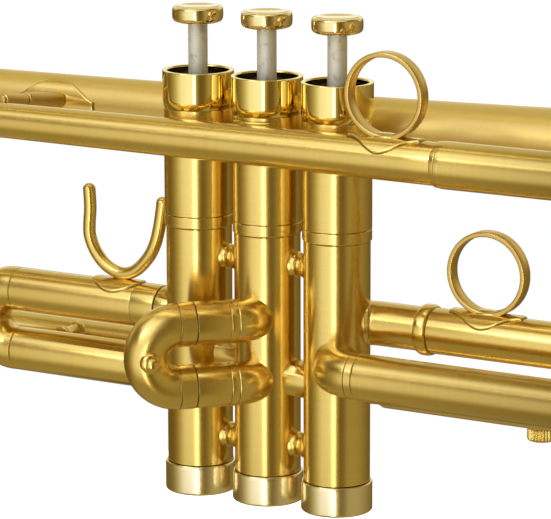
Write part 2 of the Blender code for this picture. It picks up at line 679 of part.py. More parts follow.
def make_tuning_slide():
    """The two fixed sleeves with the inlet elbow, and the tuning bow with its brace and water key."""
    front = TUNING_SLEEVE_FRONT_AT
    ring = TUNING_RADIUS + BEAD_RISE / 2
    upper_back = LEADPIPE_FRONT_AT + GAP
    reach = front - upper_back
    neck = LEADPIPE_FRONT_RADIUS + GAP
    upper = [
        (ring, reach),
        (ring, reach - FERRULE_LENGTH + GAP),
        (TUNING_RADIUS, reach - FERRULE_LENGTH),
        (TUNING_RADIUS, FERRULE_NECK + GAP),
        (neck + GAP, FERRULE_NECK),
        (neck, 0),
    ]
    place = facing(FORWARD, (upper_back, LEADPIPE_SIDE, TUNING_HEIGHT_UPPER))
    entry = LEADPIPE_FRONT_RADIUS - LEADPIPE_WALL
    bore = [(entry, 0), (SLEEVE_BORE, FERRULE_LENGTH), (SLEEVE_BORE, reach)]
    turned("tuning_sleeve_upper", upper + bore, "satin_brass", place, TUBE_SIDES, True)

    axis = Vector((valve_x(3), 0, TUNING_HEIGHT_LOWER))
    leaving = Vector((math.cos(ELBOW_EXIT_ANGLE), -math.sin(ELBOW_EXIT_ANGLE), 0))
    across = Vector((math.sin(ELBOW_EXIT_ANGLE), math.cos(ELBOW_EXIT_ANGLE), 0))
    sweep = ELBOW_BEND * (1 - math.cos(ELBOW_EXIT_ANGLE))
    straight = (-LEADPIPE_SIDE - sweep) / math.sin(ELBOW_EXIT_ANGLE)
    bend_at = axis + leaving * straight
    path = [axis + leaving * ELBOW_START, bend_at]
    path += bend(bend_at, leaving, across, ELBOW_BEND, ELBOW_EXIT_ANGLE)
    path += [path[-1] + FORWARD * STEP, path[-1] + FORWARD * ELBOW_BAND]
    radii = [ELBOW_RADIUS] * (len(path) - 2) + [ELBOW_RADIUS + FERRULE_RISE] * 2
    curve = tube_curve("inlet_elbow", path, radii, TUBE_SIDES, "satin_brass", TUBE_WALL)
    cope(as_mesh(curve, "satin_brass"), 3)

    lower_back = path[-1].x + GAP
    reach = front - lower_back
    lower = [
        (ring, reach),
        (ring, reach - FERRULE_LENGTH + GAP),
        (TUNING_RADIUS, reach - FERRULE_LENGTH),
        (TUNING_RADIUS, 0),
    ]
    place = facing(FORWARD, (lower_back, LEADPIPE_SIDE, TUNING_HEIGHT_LOWER))
    profile = pipe_profile(lower, SLEEVE_BORE)
    turned("tuning_sleeve_lower", profile, "satin_brass", place, TUBE_SIDES, True)

    joint = front + GAP
    leg_back = front - TUNING_LEG_LENGTH
    legs = (leg_back, joint, joint + STEP)
    path = slide_path(
        (0, LEADPIPE_SIDE),
        FORWARD,
        (TUNING_HEIGHT_UPPER, *legs),
        (TUNING_HEIGHT_LOWER, *reversed(legs)),
        TUNING_BOW_AT,
        BOW_STEPS,
    )
    radii = [LEG_RADIUS] * 2 + [TUNING_RADIUS] * (len(path) - 4) + [LEG_RADIUS] * 2
    curve = tube_curve("tuning_slide_bow", path, radii, TUBE_SIDES, "satin_brass", TUBE_WALL)
    bow = as_mesh(curve, "satin_brass")
    key = make_water_key(bow)
    centre = (TUNING_BOW_AT, LEADPIPE_SIDE, (TUNING_HEIGHT_UPPER + TUNING_HEIGHT_LOWER) / 2)
    carry("tuning_slide", centre, [bow])
    carry("water_key_pivot", key_pivot(), [key])


def key_pivot():
    """The water key's pivot, under the lower end of the tuning bow."""
    return Vector((KEY_PIVOT_AT, LEADPIPE_SIDE, TUNING_HEIGHT_LOWER - KEY_PIVOT_DROP))


def make_water_key(bow):
    """The lever over the drain nipple. Its ears, the nipple and the brace are joined to the bow."""
    wall = TUNING_RADIUS - OVERLAP
    side = LEADPIPE_SIDE
    brace_low = (KEY_PIVOT_AT, side, TUNING_HEIGHT_LOWER + wall)
    brace_high = (KEY_PIVOT_AT, side, TUNING_HEIGHT_UPPER - wall)
    combine(bow, rod("tuning_brace", TUNING_BRACE_ROD, brace_low, brace_high), "UNION")

    pivot = key_pivot()
    ear_foot = TUNING_HEIGHT_LOWER - 0.78 * TUNING_RADIUS
    ear_low = pivot.z - KEY_BARREL_RADIUS
    for sign in (-1, 1):
        ear_side = side + sign * (KEY_BARREL_LENGTH / 2 + GAP + KEY_EAR / 2)
        size = (KEY_EAR_WIDTH, KEY_EAR, ear_foot - ear_low)
        ear = block("key_ear", size, (KEY_PIVOT_AT, ear_side, (ear_foot + ear_low) / 2))
        combine(bow, ear, "UNION")
    pin_reach = KEY_BARREL_LENGTH / 2 + GAP + KEY_EAR + GAP
    hole = rod("key_pin_hole", KEY_PIN_RADIUS + GAP, pivot - LEFT * pin_reach, pivot + LEFT * pin_reach)
    combine(bow, hole, "DIFFERENCE")

    centre = Vector((TUNING_BOW_AT, side, (TUNING_HEIGHT_UPPER + TUNING_HEIGHT_LOWER) / 2))
    outward = Vector((math.sin(KEY_NIPPLE_ANGLE), 0, -math.cos(KEY_NIPPLE_ANGLE)))
    bend_radius = (TUNING_HEIGHT_UPPER - TUNING_HEIGHT_LOWER) / 2
    skin = centre + outward * (bend_radius + TUNING_RADIUS)
    tip = skin + outward * KEY_NIPPLE_HEIGHT
    combine(bow, rod("key_nipple", KEY_NIPPLE_RADIUS, skin - outward * KEY_NIPPLE_SUNK, tip), "UNION")

    pad = tip + outward * GAP
    touch = pivot - FORWARD * KEY_TOUCH_LENGTH - UP * KEY_TOUCH_DROP
    seat = pad + outward * KEY_PAD
    sag = UP * KEY_ARM_SAG
    path = [touch, touch.lerp(pivot, 0.5) - sag, pivot - sag / 2, pivot.lerp(seat, 0.6) - sag, seat]
    radii = [KEY_TOUCH_RADIUS] + [KEY_ARM_RADIUS] * 4
    lever = as_mesh(tube_curve("water_key", path, radii, SMALL_SIDES, "satin_brass"), "satin_brass")
    half = KEY_BARREL_LENGTH / 2
    trunnion = half + GAP + KEY_EAR
    for name, radius, reach in (
        ("key_barrel", KEY_BARREL_RADIUS, half),
        ("key_pin", KEY_PIN_RADIUS, trunnion),
    ):
        combine(lever, rod(name, radius, pivot - LEFT * reach, pivot + LEFT * reach), "UNION")
    combine(lever, rod("key_pad", KEY_PAD_RADIUS, pad, seat + outward * OVERLAP), "UNION")
    return lever


def make_first_slide():
    """The first slide: its upper leg runs on a fixed inner tube, its lower leg in a fixed sleeve."""
    back, front = FIRST_BOW_AT, FIRST_SLEEVE_FRONT_AT
    casing_edge = valve_x(1) - CASING_LOWER_RADIUS / 2
    inner_back = back + LEG_SHORT
    tube = pipe_profile([(LEG_RADIUS, casing_edge - inner_back), (LEG_RADIUS, 0)], LEG_RADIUS - TUBE_WALL)
    place = facing(FORWARD, (inner_back, 0, FIRST_UPPER_HEIGHT))
    cope(turned("first_inner_tube", tube, "satin_brass", place, TUBE_SIDES, True), 1)

    sleeve = pipe_profile([(SLEEVE_RADIUS, casing_edge - back), (SLEEVE_RADIUS, 0)], SLEEVE_BORE)
    place = facing(FORWARD, (back, 0, FIRST_LOWER_HEIGHT))
    cope(turned("first_lower_sleeve", sleeve, "satin_brass", place, TUBE_SIDES, True), 1)

    reach = front - back
    rise = SLEEVE_RADIUS + FERRULE_RISE
    outer = [
        (rise, reach),
        (rise, reach - FIRST_FERRULE),
        (SLEEVE_RADIUS, reach - FIRST_FERRULE - STEP),
        (SLEEVE_RADIUS, 0),
    ]
    place = facing(FORWARD, (back, 0, FIRST_UPPER_HEIGHT))
    profile = pipe_profile(outer, SLEEVE_BORE)
    moving_sleeve = turned("first_slide_sleeve", profile, "satin_brass", place, TUBE_SIDES, True)

    joint = -back + GAP
    path = slide_path(
        (0, 0),
        -FORWARD,
        (FIRST_UPPER_HEIGHT, joint),
        (FIRST_LOWER_HEIGHT, joint + STEP, joint, joint - FIRST_LEG_LENGTH),
        joint + MM,
    )
    radii = [SLEEVE_RADIUS] * (len(path) - 2) + [LEG_RADIUS] * 2
    bow = tube_curve("first_slide_bow", path, radii, TUBE_SIDES, "satin_brass", TUBE_WALL)
    carry("first_slide", (front, 0, FIRST_UPPER_HEIGHT), [moving_sleeve, bow, make_thumb_saddle()])


def port_path(number, leaving, side, angle):
    """A port's path in plan: straight out of a casing, then round an elbow towards a side."""
    axis = Vector((valve_x(number), 0, 0))
    turn_at = axis + leaving * PORT_REACH
    return [axis + leaving * PORT_START, turn_at] + bend(turn_at, leaving, side, PORT_BEND, angle, PORT_STEPS)


def make_second_slide():
    """The second slide's two fixed sleeves with their elbows, its bow with inner legs, and the pull knob."""
    heading = Vector((-math.sin(SECOND_ANGLE), -math.cos(SECOND_ANGLE), 0))
    band = SECOND_RADIUS + FERRULE_RISE
    port = port_path(2, -LEFT, -FORWARD, SECOND_ANGLE)
    corner = port[-1]
    along = (STEP, SECOND_BAND, SECOND_BAND + STEP, SECOND_SLEEVE_LENGTH)
    plan = port + [corner + heading * distance for distance in along]
    radii = [SECOND_RADIUS] * len(port) + [band] * 2 + [SECOND_RADIUS] * 2
    for level, height in (("upper", SECOND_UPPER_HEIGHT), ("lower", SECOND_LOWER_HEIGHT)):
        path = [point + UP * height for point in plan]
        wall = SECOND_RADIUS - SECOND_BORE
        curve = tube_curve(f"second_sleeve_{level}", path, radii, TUBE_SIDES, "satin_brass", wall)
        cope(as_mesh(curve, "satin_brass"), 2)

    joint = SECOND_SLEEVE_LENGTH + GAP
    legs = (joint - SECOND_LEG_LENGTH, joint, joint + STEP, SECOND_BOW_AT - STEP)
    upper = (SECOND_UPPER_HEIGHT, *legs)
    lower = (SECOND_LOWER_HEIGHT, *reversed(legs))
    path = slide_path(corner, heading, upper, lower, SECOND_BOW_AT)
    thin = [SECOND_BORE - GAP] * 2
    ends = [band] * 2
    radii = thin + ends + [SECOND_RADIUS] * (len(path) - 8) + ends + thin
    bow = tube_curve("second_slide_bow", path, radii, TUBE_SIDES, "satin_brass", TUBE_WALL)

    middle = (SECOND_UPPER_HEIGHT + SECOND_LOWER_HEIGHT) / 2
    crown = SECOND_BOW_AT + (SECOND_UPPER_HEIGHT - SECOND_LOWER_HEIGHT) / 2
    outward = Vector((math.cos(SECOND_ANGLE), -math.sin(SECOND_ANGLE), 0))
    centre = corner + UP * middle
    foot = centre + heading * crown + outward * (SECOND_RADIUS + GAP)
    high = KNOB_DISC + 2 * KNOB_BALL
    knob = [
        (0, high),
        (0.7 * KNOB_BALL, high - 0.3 * KNOB_BALL),
        (KNOB_BALL, high - KNOB_BALL),
        (0.7 * KNOB_BALL, KNOB_DISC + 0.3 * KNOB_BALL),
        (KNOB_DISC_RADIUS - CAP_EDGE, KNOB_DISC),
        (KNOB_DISC_RADIUS, KNOB_DISC / 2),
        (KNOB_DISC_RADIUS, 0),
        (0, 0),
    ]
    pull = turned("pull_knob", knob, "satin_brass", facing(outward, foot), SMALL_SIDES)
    carry("second_slide", centre, [bow, pull])


def make_third_slide():
    """The third slide: its upper leg runs on a fixed inner tube, its lower leg in a fixed sleeve."""
    leaving = Vector((math.cos(THIRD_ANGLE), math.sin(THIRD_ANGLE), 0))
    across = Vector((math.sin(THIRD_ANGLE), -math.cos(THIRD_ANGLE), 0))
    port = port_path(3, leaving, across, THIRD_ANGLE)
    side = port[-1].y
    stub_end = THIRD_BEAD_AT - GAP
    ends = [Vector((at, side, 0)) for at in (stub_end, stub_end + STEP, THIRD_BOW_AT - LEG_SHORT)]
    path = [point + UP * THIRD_UPPER_HEIGHT for point in port + ends]
    radii = [THIRD_STUB_RADIUS] * (len(port) + 1) + [LEG_RADIUS] * 2
    curve = tube_curve("third_inner_tube", path, radii, TUBE_SIDES, "satin_brass", TUBE_WALL)
    cope(as_mesh(curve, "satin_brass"), 3)

    shoulder = THIRD_NECK_TO + 2 * (SLEEVE_RADIUS - THIRD_NECK_RADIUS)
    ends = [Vector((at, side, 0)) for at in (THIRD_NECK_TO, shoulder, THIRD_BOW_AT)]
    path = [point + UP * THIRD_LOWER_HEIGHT for point in port + ends]
    radii = [THIRD_NECK_RADIUS] * (len(port) + 1) + [SLEEVE_RADIUS] * 2
    wall = SLEEVE_RADIUS - SLEEVE_BORE
    curve = tube_curve("third_lower_sleeve", path, radii, TUBE_SIDES, "satin_brass", wall)
    lower = as_mesh(curve, "satin_brass")
    cope(lower, 3)
    make_lyre_holder(lower, side)

    bead = SLEEVE_RADIUS + BEAD_RISE
    length = THIRD_BOW_AT - THIRD_BEAD_AT
    outer = [
        (SLEEVE_RADIUS, length),
        (SLEEVE_RADIUS, THIRD_BEAD + STEP),
        (bead, 0.8 * THIRD_BEAD),
        (bead, 0.2 * THIRD_BEAD),
        (SLEEVE_RADIUS, 0),
    ]
    place = facing(FORWARD, (THIRD_BEAD_AT, side, THIRD_UPPER_HEIGHT))
    profile = pipe_profile(outer, SLEEVE_BORE)
    moving_sleeve = turned("third_slide_sleeve", profile, "satin_brass", place, TUBE_SIDES, True)

    joint = THIRD_BOW_AT + GAP
    path = slide_path(
        (0, side),
        FORWARD,
        (THIRD_UPPER_HEIGHT, joint),
        (THIRD_LOWER_HEIGHT, joint + STEP, joint, joint - THIRD_LEG_LENGTH),
        joint + MM,
    )
    radii = [SLEEVE_RADIUS] * (len(path) - 2) + [LEG_RADIUS] * 2
    bow = tube_curve("third_slide_bow", path, radii, TUBE_SIDES, "satin_brass", TUBE_WALL)
    top = THIRD_UPPER_HEIGHT + SLEEVE_RADIUS
    ring = make_ring("third_slide_ring", (THIRD_RING_AT, side, THIRD_UPPER_HEIGHT), SLEEVE_RADIUS, top)
    carry("third_slide", (THIRD_BEAD_AT, side, THIRD_UPPER_HEIGHT), [moving_sleeve, bow, ring])


def make_lyre_holder(sleeve, sleeve_side):
    """The music-clip holder on the third slide's lower sleeve, and its knurled thumbscrew below."""
    edge = sleeve_side + SLEEVE_BORE + (SLEEVE_RADIUS - SLEEVE_BORE) / 3
    side = edge + LYRE_BOSS_SIZE.y / 2
    centre = Vector((LYRE_BOSS_AT, side, THIRD_LOWER_HEIGHT - LYRE_BOSS_DROP))
    combine(sleeve, block("lyre_boss", LYRE_BOSS_SIZE, centre), "UNION")
    slot_at = centre + LEFT * 0.6 * MM + UP * LYRE_BOSS_DROP
    combine(sleeve, block("lyre_slot", LYRE_SLOT_SIZE, slot_at), "DIFFERENCE")
    bottom = centre - UP * LYRE_BOSS_SIZE.z / 2
    screw_foot = Vector((LYRE_BOSS_AT, slot_at.y, bottom.z - GAP))
    hole_radius = LYRE_SCREW_RADIUS + GAP
    hole_end = Vector((LYRE_BOSS_AT, slot_at.y, slot_at.z))
    combine(sleeve, rod("lyre_hole", hole_radius, screw_foot, hole_end), "DIFFERENCE")

    tip = screw_foot + UP * LYRE_SCREW_REACH
    low = screw_foot - UP * LYRE_SCREW_HEAD
    radius = LYRE_SCREW_HEAD_RADIUS
    profile = [
        (0, tip.z - low.z),
        (LYRE_SCREW_RADIUS, tip.z - low.z),
        (LYRE_SCREW_RADIUS, LYRE_SCREW_HEAD),
        (radius - CAP_EDGE, LYRE_SCREW_HEAD),
        (radius, LYRE_SCREW_HEAD - CAP_EDGE),
        (radius, CAP_EDGE),
        (radius - CAP_EDGE, 0),
        (0, 0),
    ]
    screw = turned("lyre_screw", profile, "satin_brass", Matrix.Translation(low), LYRE_SCREW_FLUTES)
    carry("lyre_screw_axis", screw_foot, [screw])


def saddle_plate(name, place, tube_radius, length):
    """A thin plate with narrow ends that hugs the top of a tube running along local X."""
    mesh = bpy.data.meshes.new(name)
    shape = bmesh.new()
    bmesh.ops.create_grid(shape, x_segments=6, y_segments=4, size=1)
    radius = tube_radius + GAP
    for vertex in shape.verts:
        along, share = vertex.co.x, vertex.co.y
        narrowing = 1 - abs(along) ** PLATE_CURVE
        angle = share * (PLATE_TIP_ANGLE + (PLATE_HALF_ANGLE - PLATE_TIP_ANGLE) * narrowing)
        vertex.co = (along * length / 2, radius * math.sin(angle), radius * math.cos(angle))
    shape.to_mesh(mesh)
    shape.free()
    plate = add_piece(name, mesh, None, place)
    shell = plate.modifiers.new("thickness", "SOLIDIFY")
    shell.thickness = PLATE
    shell.offset = 1
    return plate


def make_ring(name, at, tube_radius, tube_top):
    """A flat-band finger ring soldered to its saddle plate on top of a tube."""
    inner = RING_RADIUS - RING_BAND
    half = RING_WIDTH / 2
    profile = [(RING_RADIUS, half), (RING_RADIUS, -half), (inner, -half), (inner, half)]
    centre = Vector((at[0], at[1], tube_top + GAP + PLATE - RING_SINK + RING_RADIUS))
    ring = turned(name, profile, "satin_brass", facing(LEFT, centre), RING_FACETS, True)
    below = Vector((at[0], at[1], tube_top + GAP + PLATE / 4 - RING_BAND / 2))
    space = block(name + "_space", (RING_RADIUS, 2 * RING_WIDTH, RING_BAND), below)
    combine(ring, space, "DIFFERENCE")
    plate = saddle_plate(name + "_plate", Matrix.Translation(at), tube_radius, PLATE_LENGTH)
    combine(ring, plate, "UNION")
    return ring


def make_thumb_saddle():
    """The U-shaped rod for the left thumb, on its plate on the first slide's moving sleeve."""
    at = Vector((SADDLE_AT, 0, FIRST_UPPER_HEIGHT))
    low = at.z + SLEEVE_RADIUS + GAP + PLATE - OVERLAP + SADDLE_ROD
    shoulder = Vector((SADDLE_AT - SADDLE_BEND, 0, low + SADDLE_BEND))
    tip = shoulder + UP * SADDLE_ARM
    path = [tip + UP * SADDLE_ROD * (1 - SADDLE_TIP), tip, shoulder]
    path += bend(shoulder, -UP, FORWARD, SADDLE_BEND, math.pi, 2 * BEND_STEPS)
    far_tip = path[-1] + UP * SADDLE_ARM * 0.85
    path += [far_tip, far_tip + UP * SADDLE_ROD * (1 - SADDLE_TIP)]
    radii = [SADDLE_ROD] * len(path)
    radii[0] = radii[-1] = SADDLE_ROD * SADDLE_TIP
    saddle = as_mesh(tube_curve("thumb_saddle", path, radii, SMALL_SIDES, "satin_brass"), "satin_brass")
    place = Matrix.Translation(at)
    plate = saddle_plate("thumb_saddle_plate", place, SLEEVE_RADIUS + FERRULE_RISE, SADDLE_PLATE_LENGTH)
    combine(saddle, plate, "UNION")
    return saddle


def make_brace(name, start, end):
    """A turned brace rod with a socket and a round flange at each end."""
    reach = Vector(end) - Vector(start)
    length = reach.length
    half = [
        (BRACE_FLANGE_RADIUS, 0),
        (BRACE_FLANGE_RADIUS, BRACE_FLANGE),
        (BRACE_SOCKET, BRACE_FLANGE + CAP_EDGE),
        (BRACE_SOCKET, BRACE_SOCKET_LENGTH),
        (BRACE_ROD, BRACE_SOCKET_LENGTH + CAP_EDGE),
    ]
    upper = [(radius, length - height) for radius, height in half]
    profile = [(0, length)] + upper + list(reversed(half)) + [(0, 0)]
    turned(name, profile, "satin_brass", facing(reach, start), SMALL_SIDES)


def make_rear_brace():
    """A stepped rod from the leadpipe to a plate on the near side of the bell."""
    reach = REAR_BRACE_END - REAR_BRACE_FOOT
    thick, middle, thin = REAR_BRACE_RADII
    first, second = REAR_BRACE_STEPS
    profile = [
        (0, reach.length),
        (thin, reach.length),
        (thin, second + STEP),
        (middle, second),
        (middle, first + STEP),
        (thick, first),
        (thick, 0),
        (0, 0),
    ]
    brace = turned("rear_brace", profile, "satin_brass", facing(reach, REAR_BRACE_FOOT), SMALL_SIDES)
    tube_radius = bell_radius(REAR_PLATE_AT + REAR_PLATE_LENGTH / 2)
    centre = Vector((REAR_PLATE_AT, BELL_SIDE, BELL_HEIGHT))
    half = FORWARD * REAR_PLATE_LENGTH / 2
    seat = tube_radius + GAP + PLATE / 3
    space = rod("rear_bell_space", seat, centre - half, centre + half, None, CASING_FACETS)
    combine(brace, space, "DIFFERENCE")
    pipe = Vector((REAR_PLATE_AT, LEADPIPE_SIDE, LEADPIPE_HEIGHT))
    edge = leadpipe_radius(REAR_PLATE_AT) + GAP
    space = rod("rear_pipe_space", edge, pipe - half, pipe + half, None, CASING_FACETS)
    combine(brace, space, "DIFFERENCE")
    place = Matrix.Translation(centre) @ Matrix.Rotation(math.pi / 2, 4, "X")
    combine(brace, saddle_plate("rear_brace_plate", place, tube_radius, REAR_PLATE_LENGTH), "UNION")


def make_braces():
    """The two braces from leadpipe to bell, and the short one from the second casing to the leadpipe."""
    make_rear_brace()
    start = Vector((FRONT_BRACE_AT, LEADPIPE_SIDE + TUNING_RADIUS + 2 * GAP, LEADPIPE_HEIGHT))
    end = Vector((FRONT_BRACE_AT, BELL_SIDE - bell_radius(FRONT_BRACE_AT) - 2 * GAP, BELL_HEIGHT))
    make_brace("front_brace", start, end)

    name = "valve_brace"
    mesh = bpy.data.meshes.new(name)
    shape = bmesh.new()
    bmesh.ops.create_grid(shape, x_segments=6, y_segments=1, size=1)
    radius = CASING_UPPER_RADIUS + GAP
    for vertex in shape.verts:
        angle = vertex.co.x * VALVE_PLATE_ANGLE
        height = VALVE_PLATE_TOP - VALVE_PLATE_HEIGHT * (1 - vertex.co.y) / 2
        vertex.co = (radius * math.sin(angle), -radius * math.cos(angle), height)
    shape.to_mesh(mesh)
    shape.free()
    plate = add_piece(name, mesh, "satin_brass", Matrix.Translation((valve_x(2), 0, 0)))
    shell = plate.modifiers.new("thickness", "SOLIDIFY")
    shell.thickness = PLATE
    shell.offset = 1
    near = Vector((valve_x(2), -radius - PLATE / 3, LEADPIPE_HEIGHT))
    far = Vector((valve_x(2), LEADPIPE_SIDE + leadpipe_radius(valve_x(2)) + GAP, LEADPIPE_HEIGHT))
    combine(plate, rod("valve_post", VALVE_POST_RADIUS, near, far), "UNION")


clear_scene()
PARTS = new_collection("trumpet", False)
CUTTERS = new_collection("trumpet_cutters", True)
CASING_CUTTERS = casing_cutters()

for valve_number in (1, 2, 3):
    make_valve(valve_number)
make_links()
make_bell()
make_bell_bow()
make_leadpipe()
make_tuning_slide()
make_first_slide()
make_second_slide()
make_third_slide()
finger_ring_at = (FINGER_RING_AT, LEADPIPE_SIDE, LEADPIPE_HEIGHT)
finger_ring_tube = leadpipe_radius(FINGER_RING_AT + PLATE_LENGTH / 2)
make_ring("finger_ring", finger_ring_at, finger_ring_tube, LEADPIPE_HEIGHT + finger_ring_tube)
make_braces()
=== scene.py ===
"""The trumpet's looks: turned and swept surfaces in satin and polished brass, on the frame."""

import math

import bpy
import numpy as np
from mathutils import Matrix, Vector


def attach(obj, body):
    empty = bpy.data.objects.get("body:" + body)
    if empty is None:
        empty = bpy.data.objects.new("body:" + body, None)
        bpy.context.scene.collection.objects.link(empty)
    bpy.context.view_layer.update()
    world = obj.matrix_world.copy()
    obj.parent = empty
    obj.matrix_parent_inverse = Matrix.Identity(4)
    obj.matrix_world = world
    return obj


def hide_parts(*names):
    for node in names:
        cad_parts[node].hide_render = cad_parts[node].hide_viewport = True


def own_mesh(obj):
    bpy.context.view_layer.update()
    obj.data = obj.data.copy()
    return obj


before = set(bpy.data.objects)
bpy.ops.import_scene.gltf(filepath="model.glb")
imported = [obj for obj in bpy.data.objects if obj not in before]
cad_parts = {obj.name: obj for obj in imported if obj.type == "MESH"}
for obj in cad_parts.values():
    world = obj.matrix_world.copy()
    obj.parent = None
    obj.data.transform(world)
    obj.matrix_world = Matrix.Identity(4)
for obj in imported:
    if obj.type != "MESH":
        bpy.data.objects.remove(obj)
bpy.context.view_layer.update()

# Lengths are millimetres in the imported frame. X runs forwards to the bell's rim, Y to the player's
# left and Z up.
MM = 0.001
X, Y, Z = np.eye(3)
ROOT = "trumpet"
VALVES = {1: -22.48, 2: 0.0, 3: 22.48}
CASING_WALL = 9.0
BELL_RIM = 270.0
BELL_AXIS = np.array((0.0, 20.0, 45.8))
LEADPIPE_AXIS = np.array((0.0, -18.0, 45.4))
LOWER_TUNING_AXIS = np.array((0.0, -18.0, -15.7))
# Point attributes: dark seams with painted shade in grooves, steps and recesses, and worn edges.
MARKS = ("seam_and_shade", "edge")


# Node trees

class Wire:
    """A socket of a node tree that takes part in plain arithmetic."""

    def __init__(self, tree, socket):
        self.tree = tree
        self.socket = socket

    def node(self, kind, inputs, out=0, **settings):
        """A new node with some inputs linked or set, given by one of its outputs."""
        made = self.tree.nodes.new(kind)
        for key, value in settings.items():
            setattr(made, key, value)
        for key, value in inputs.items():
            if isinstance(value, Wire):
                value.feed(made, key)
            else:
                made.inputs[key].default_value = value
        return Wire(self.tree, made.outputs[out])

    def feed(self, node, key):
        """A link from this socket to one of a node's inputs."""
        self.tree.links.new(self.socket, node.inputs[key])

    def maths(self, operation, *values):
        """A Math node of this socket and up to two more values."""
        inputs = dict(enumerate((self, *values)))
        return self.node("ShaderNodeMath", inputs, operation=operation)

    def __add__(self, other):
        return self.maths("ADD", other)

    def __sub__(self, other):
        return self.maths("SUBTRACT", other)

    def __mul__(self, other):
        return self.maths("MULTIPLY", other)

    def __rsub__(self, other):
        return self.node("ShaderNodeMath", {0: other, 1: self}, operation="SUBTRACT")

    __radd__ = __add__
    __rmul__ = __mul__

    def between(self, low, high):
        """0 below low and 1 above high, smooth between them."""
        inputs = {"Value": self, "From Min": low, "From Max": high}
        return self.node("ShaderNodeMapRange", inputs, interpolation_type="SMOOTHSTEP")

    def window(self, rise_from, rise_to, fall_from, fall_to):
        """1 inside a span and 0 outside it, with a smooth edge at each end."""
        return self.between(rise_from, rise_to) * (1 - self.between(fall_from, fall_to))

    def mix(self, first, second):
        """A colour between two others, by this value."""
        first, second = ((*c, 1.0) if isinstance(c, tuple) else c for c in (first, second))
        return self.node("ShaderNodeMix", {0: self, 6: first, 7: second}, out=2, data_type="RGBA")

    def bump(self, shader, strength, distance):
        """This value as a height that bends a shader's normal."""
        inputs = {"Strength": strength, "Distance": distance, "Height": self}
        self.node("ShaderNodeBump", inputs).feed(shader, "Normal")


def start(tree, kind, out=0, **settings):
    """The first socket of a chain, from a node with no inputs."""
    return Wire(tree, None).node(kind, {}, out, **settings)


def place_on(tree):
    """The place on the object, in metres."""
    return start(tree, "ShaderNodeTexCoord", out=3)


def noise(vector, scale, detail=3.0):
    """A noise value over a vector."""
    return vector.node("ShaderNodeTexNoise", {"Vector": vector, "Scale": scale, "Detail": detail})


def stretched(vector, scale):
    """A vector with each of its parts multiplied by a number of its own."""
    return vector.node("ShaderNodeVectorMath", {0: vector, 1: scale}, operation="MULTIPLY")


def new_material(name, constants):
    """A Principled material with some constant inputs, with its tree and its shader node."""
    material = bpy.data.materials.new(name)
    material.use_nodes = True
    shader = material.node_tree.nodes["Principled BSDF"]
    for key, value in constants.items():
        shader.inputs[key].default_value = value
    return material, material.node_tree, shader


def brass(name, colour, deep, roughness, brush, bump, coat):
    """Lacquered brass: brush lines round tubes, dark seams and painted shade, bright worn edges."""
    constants = {"Metallic": 1.0, "Coat Weight": coat, "Coat Roughness": 0.1}
    material, tree, shader = new_material(name, constants)
    uv = start(tree, "ShaderNodeUVMap")
    place = place_on(tree)
    fine = noise(stretched(uv, (4200.0, 26.0, 1.0)), 1.0, 2.0)
    broad = noise(stretched(uv, (1700.0, 9.0, 1.0)), 1.0, 2.0)
    patches = noise(place, 75.0, 4.0) - 0.5
    streak = (fine * 0.5 + broad * 0.5) - 0.5
    seam_and_shade, edge = (start(tree, "ShaderNodeAttribute", 2, attribute_name=mark) for mark in MARKS)
    tone = patches * 0.35 + streak * brush + 0.5
    mottled = tone.between(0.15, 0.85).mix(deep, colour)
    bright = tuple(min(1.0, c * 1.12) for c in colour)
    # The darkest colour goes on seams: dark joints, and painted shade in grooves, steps and
    # recesses.
    seam_and_shade_colour = tuple(c * 0.16 for c in deep)
    worn = (edge * 0.35).mix(mottled, bright)
    (seam_and_shade * 0.9).mix(worn, seam_and_shade_colour).feed(shader, "Base Color")
    rough = roughness + streak * (0.25 * roughness) + patches * 0.06 - edge * (0.3 * roughness)
    rough.feed(shader, "Roughness")
    streak.bump(shader, bump, 0.00006)
    return material


def steel(name, colour, dull, roughness, lines):
    """Turned nickel or steel with fine lines round its axis and a few dull marks."""
    material, tree, shader = new_material(name, {"Metallic": 1.0})
    place = place_on(tree)
    streak = noise(stretched(place, (60.0, 60.0, lines)), 1.0, 2.0) - 0.5
    marks = noise(place, 420.0)
    tone = (marks.between(0.52, 0.75) * 0.5 + streak * 0.3).mix(colour, dull)
    tone.feed(shader, "Base Color")
    (roughness + streak * 0.12 + marks * 0.06).feed(shader, "Roughness")
    streak.bump(shader, 0.12, 0.00005)
    return material


def felt():
    """Dense brown felt with short fibres and worn lighter patches."""
    material, tree, shader = new_material("brown_felt", {"Sheen Weight": 0.25})
    place = place_on(tree)
    fibres = noise(place, 4200.0, 5.0)
    worn = (fibres * 0.6 + noise(place, 500.0) * 0.4).between(0.3, 0.75)
    worn.mix((0.012, 0.006, 0.004), (0.075, 0.035, 0.02)).feed(shader, "Base Color")
    (0.85 + fibres * 0.12).feed(shader, "Roughness")
    fibres.bump(shader, 0.6, 0.0003)
    return material


def cork():
    """Pressed cork with dark grains, on the water key's pad."""
    material, tree, shader = new_material("cork_pad", {})
    place = place_on(tree)
    grains = place.node("ShaderNodeTexVoronoi", {"Vector": place, "Scale": 1600.0})
    fine = noise(place, 2600.0)
    tone = (grains * 0.7 + fine * 0.3).between(0.15, 0.7)
    tone.mix((0.16, 0.08, 0.03), (0.46, 0.28, 0.13)).feed(shader, "Base Color")
    (0.8 + fine * 0.15).feed(shader, "Roughness")
    grains.bump(shader, 0.4, 0.0002)
    return material


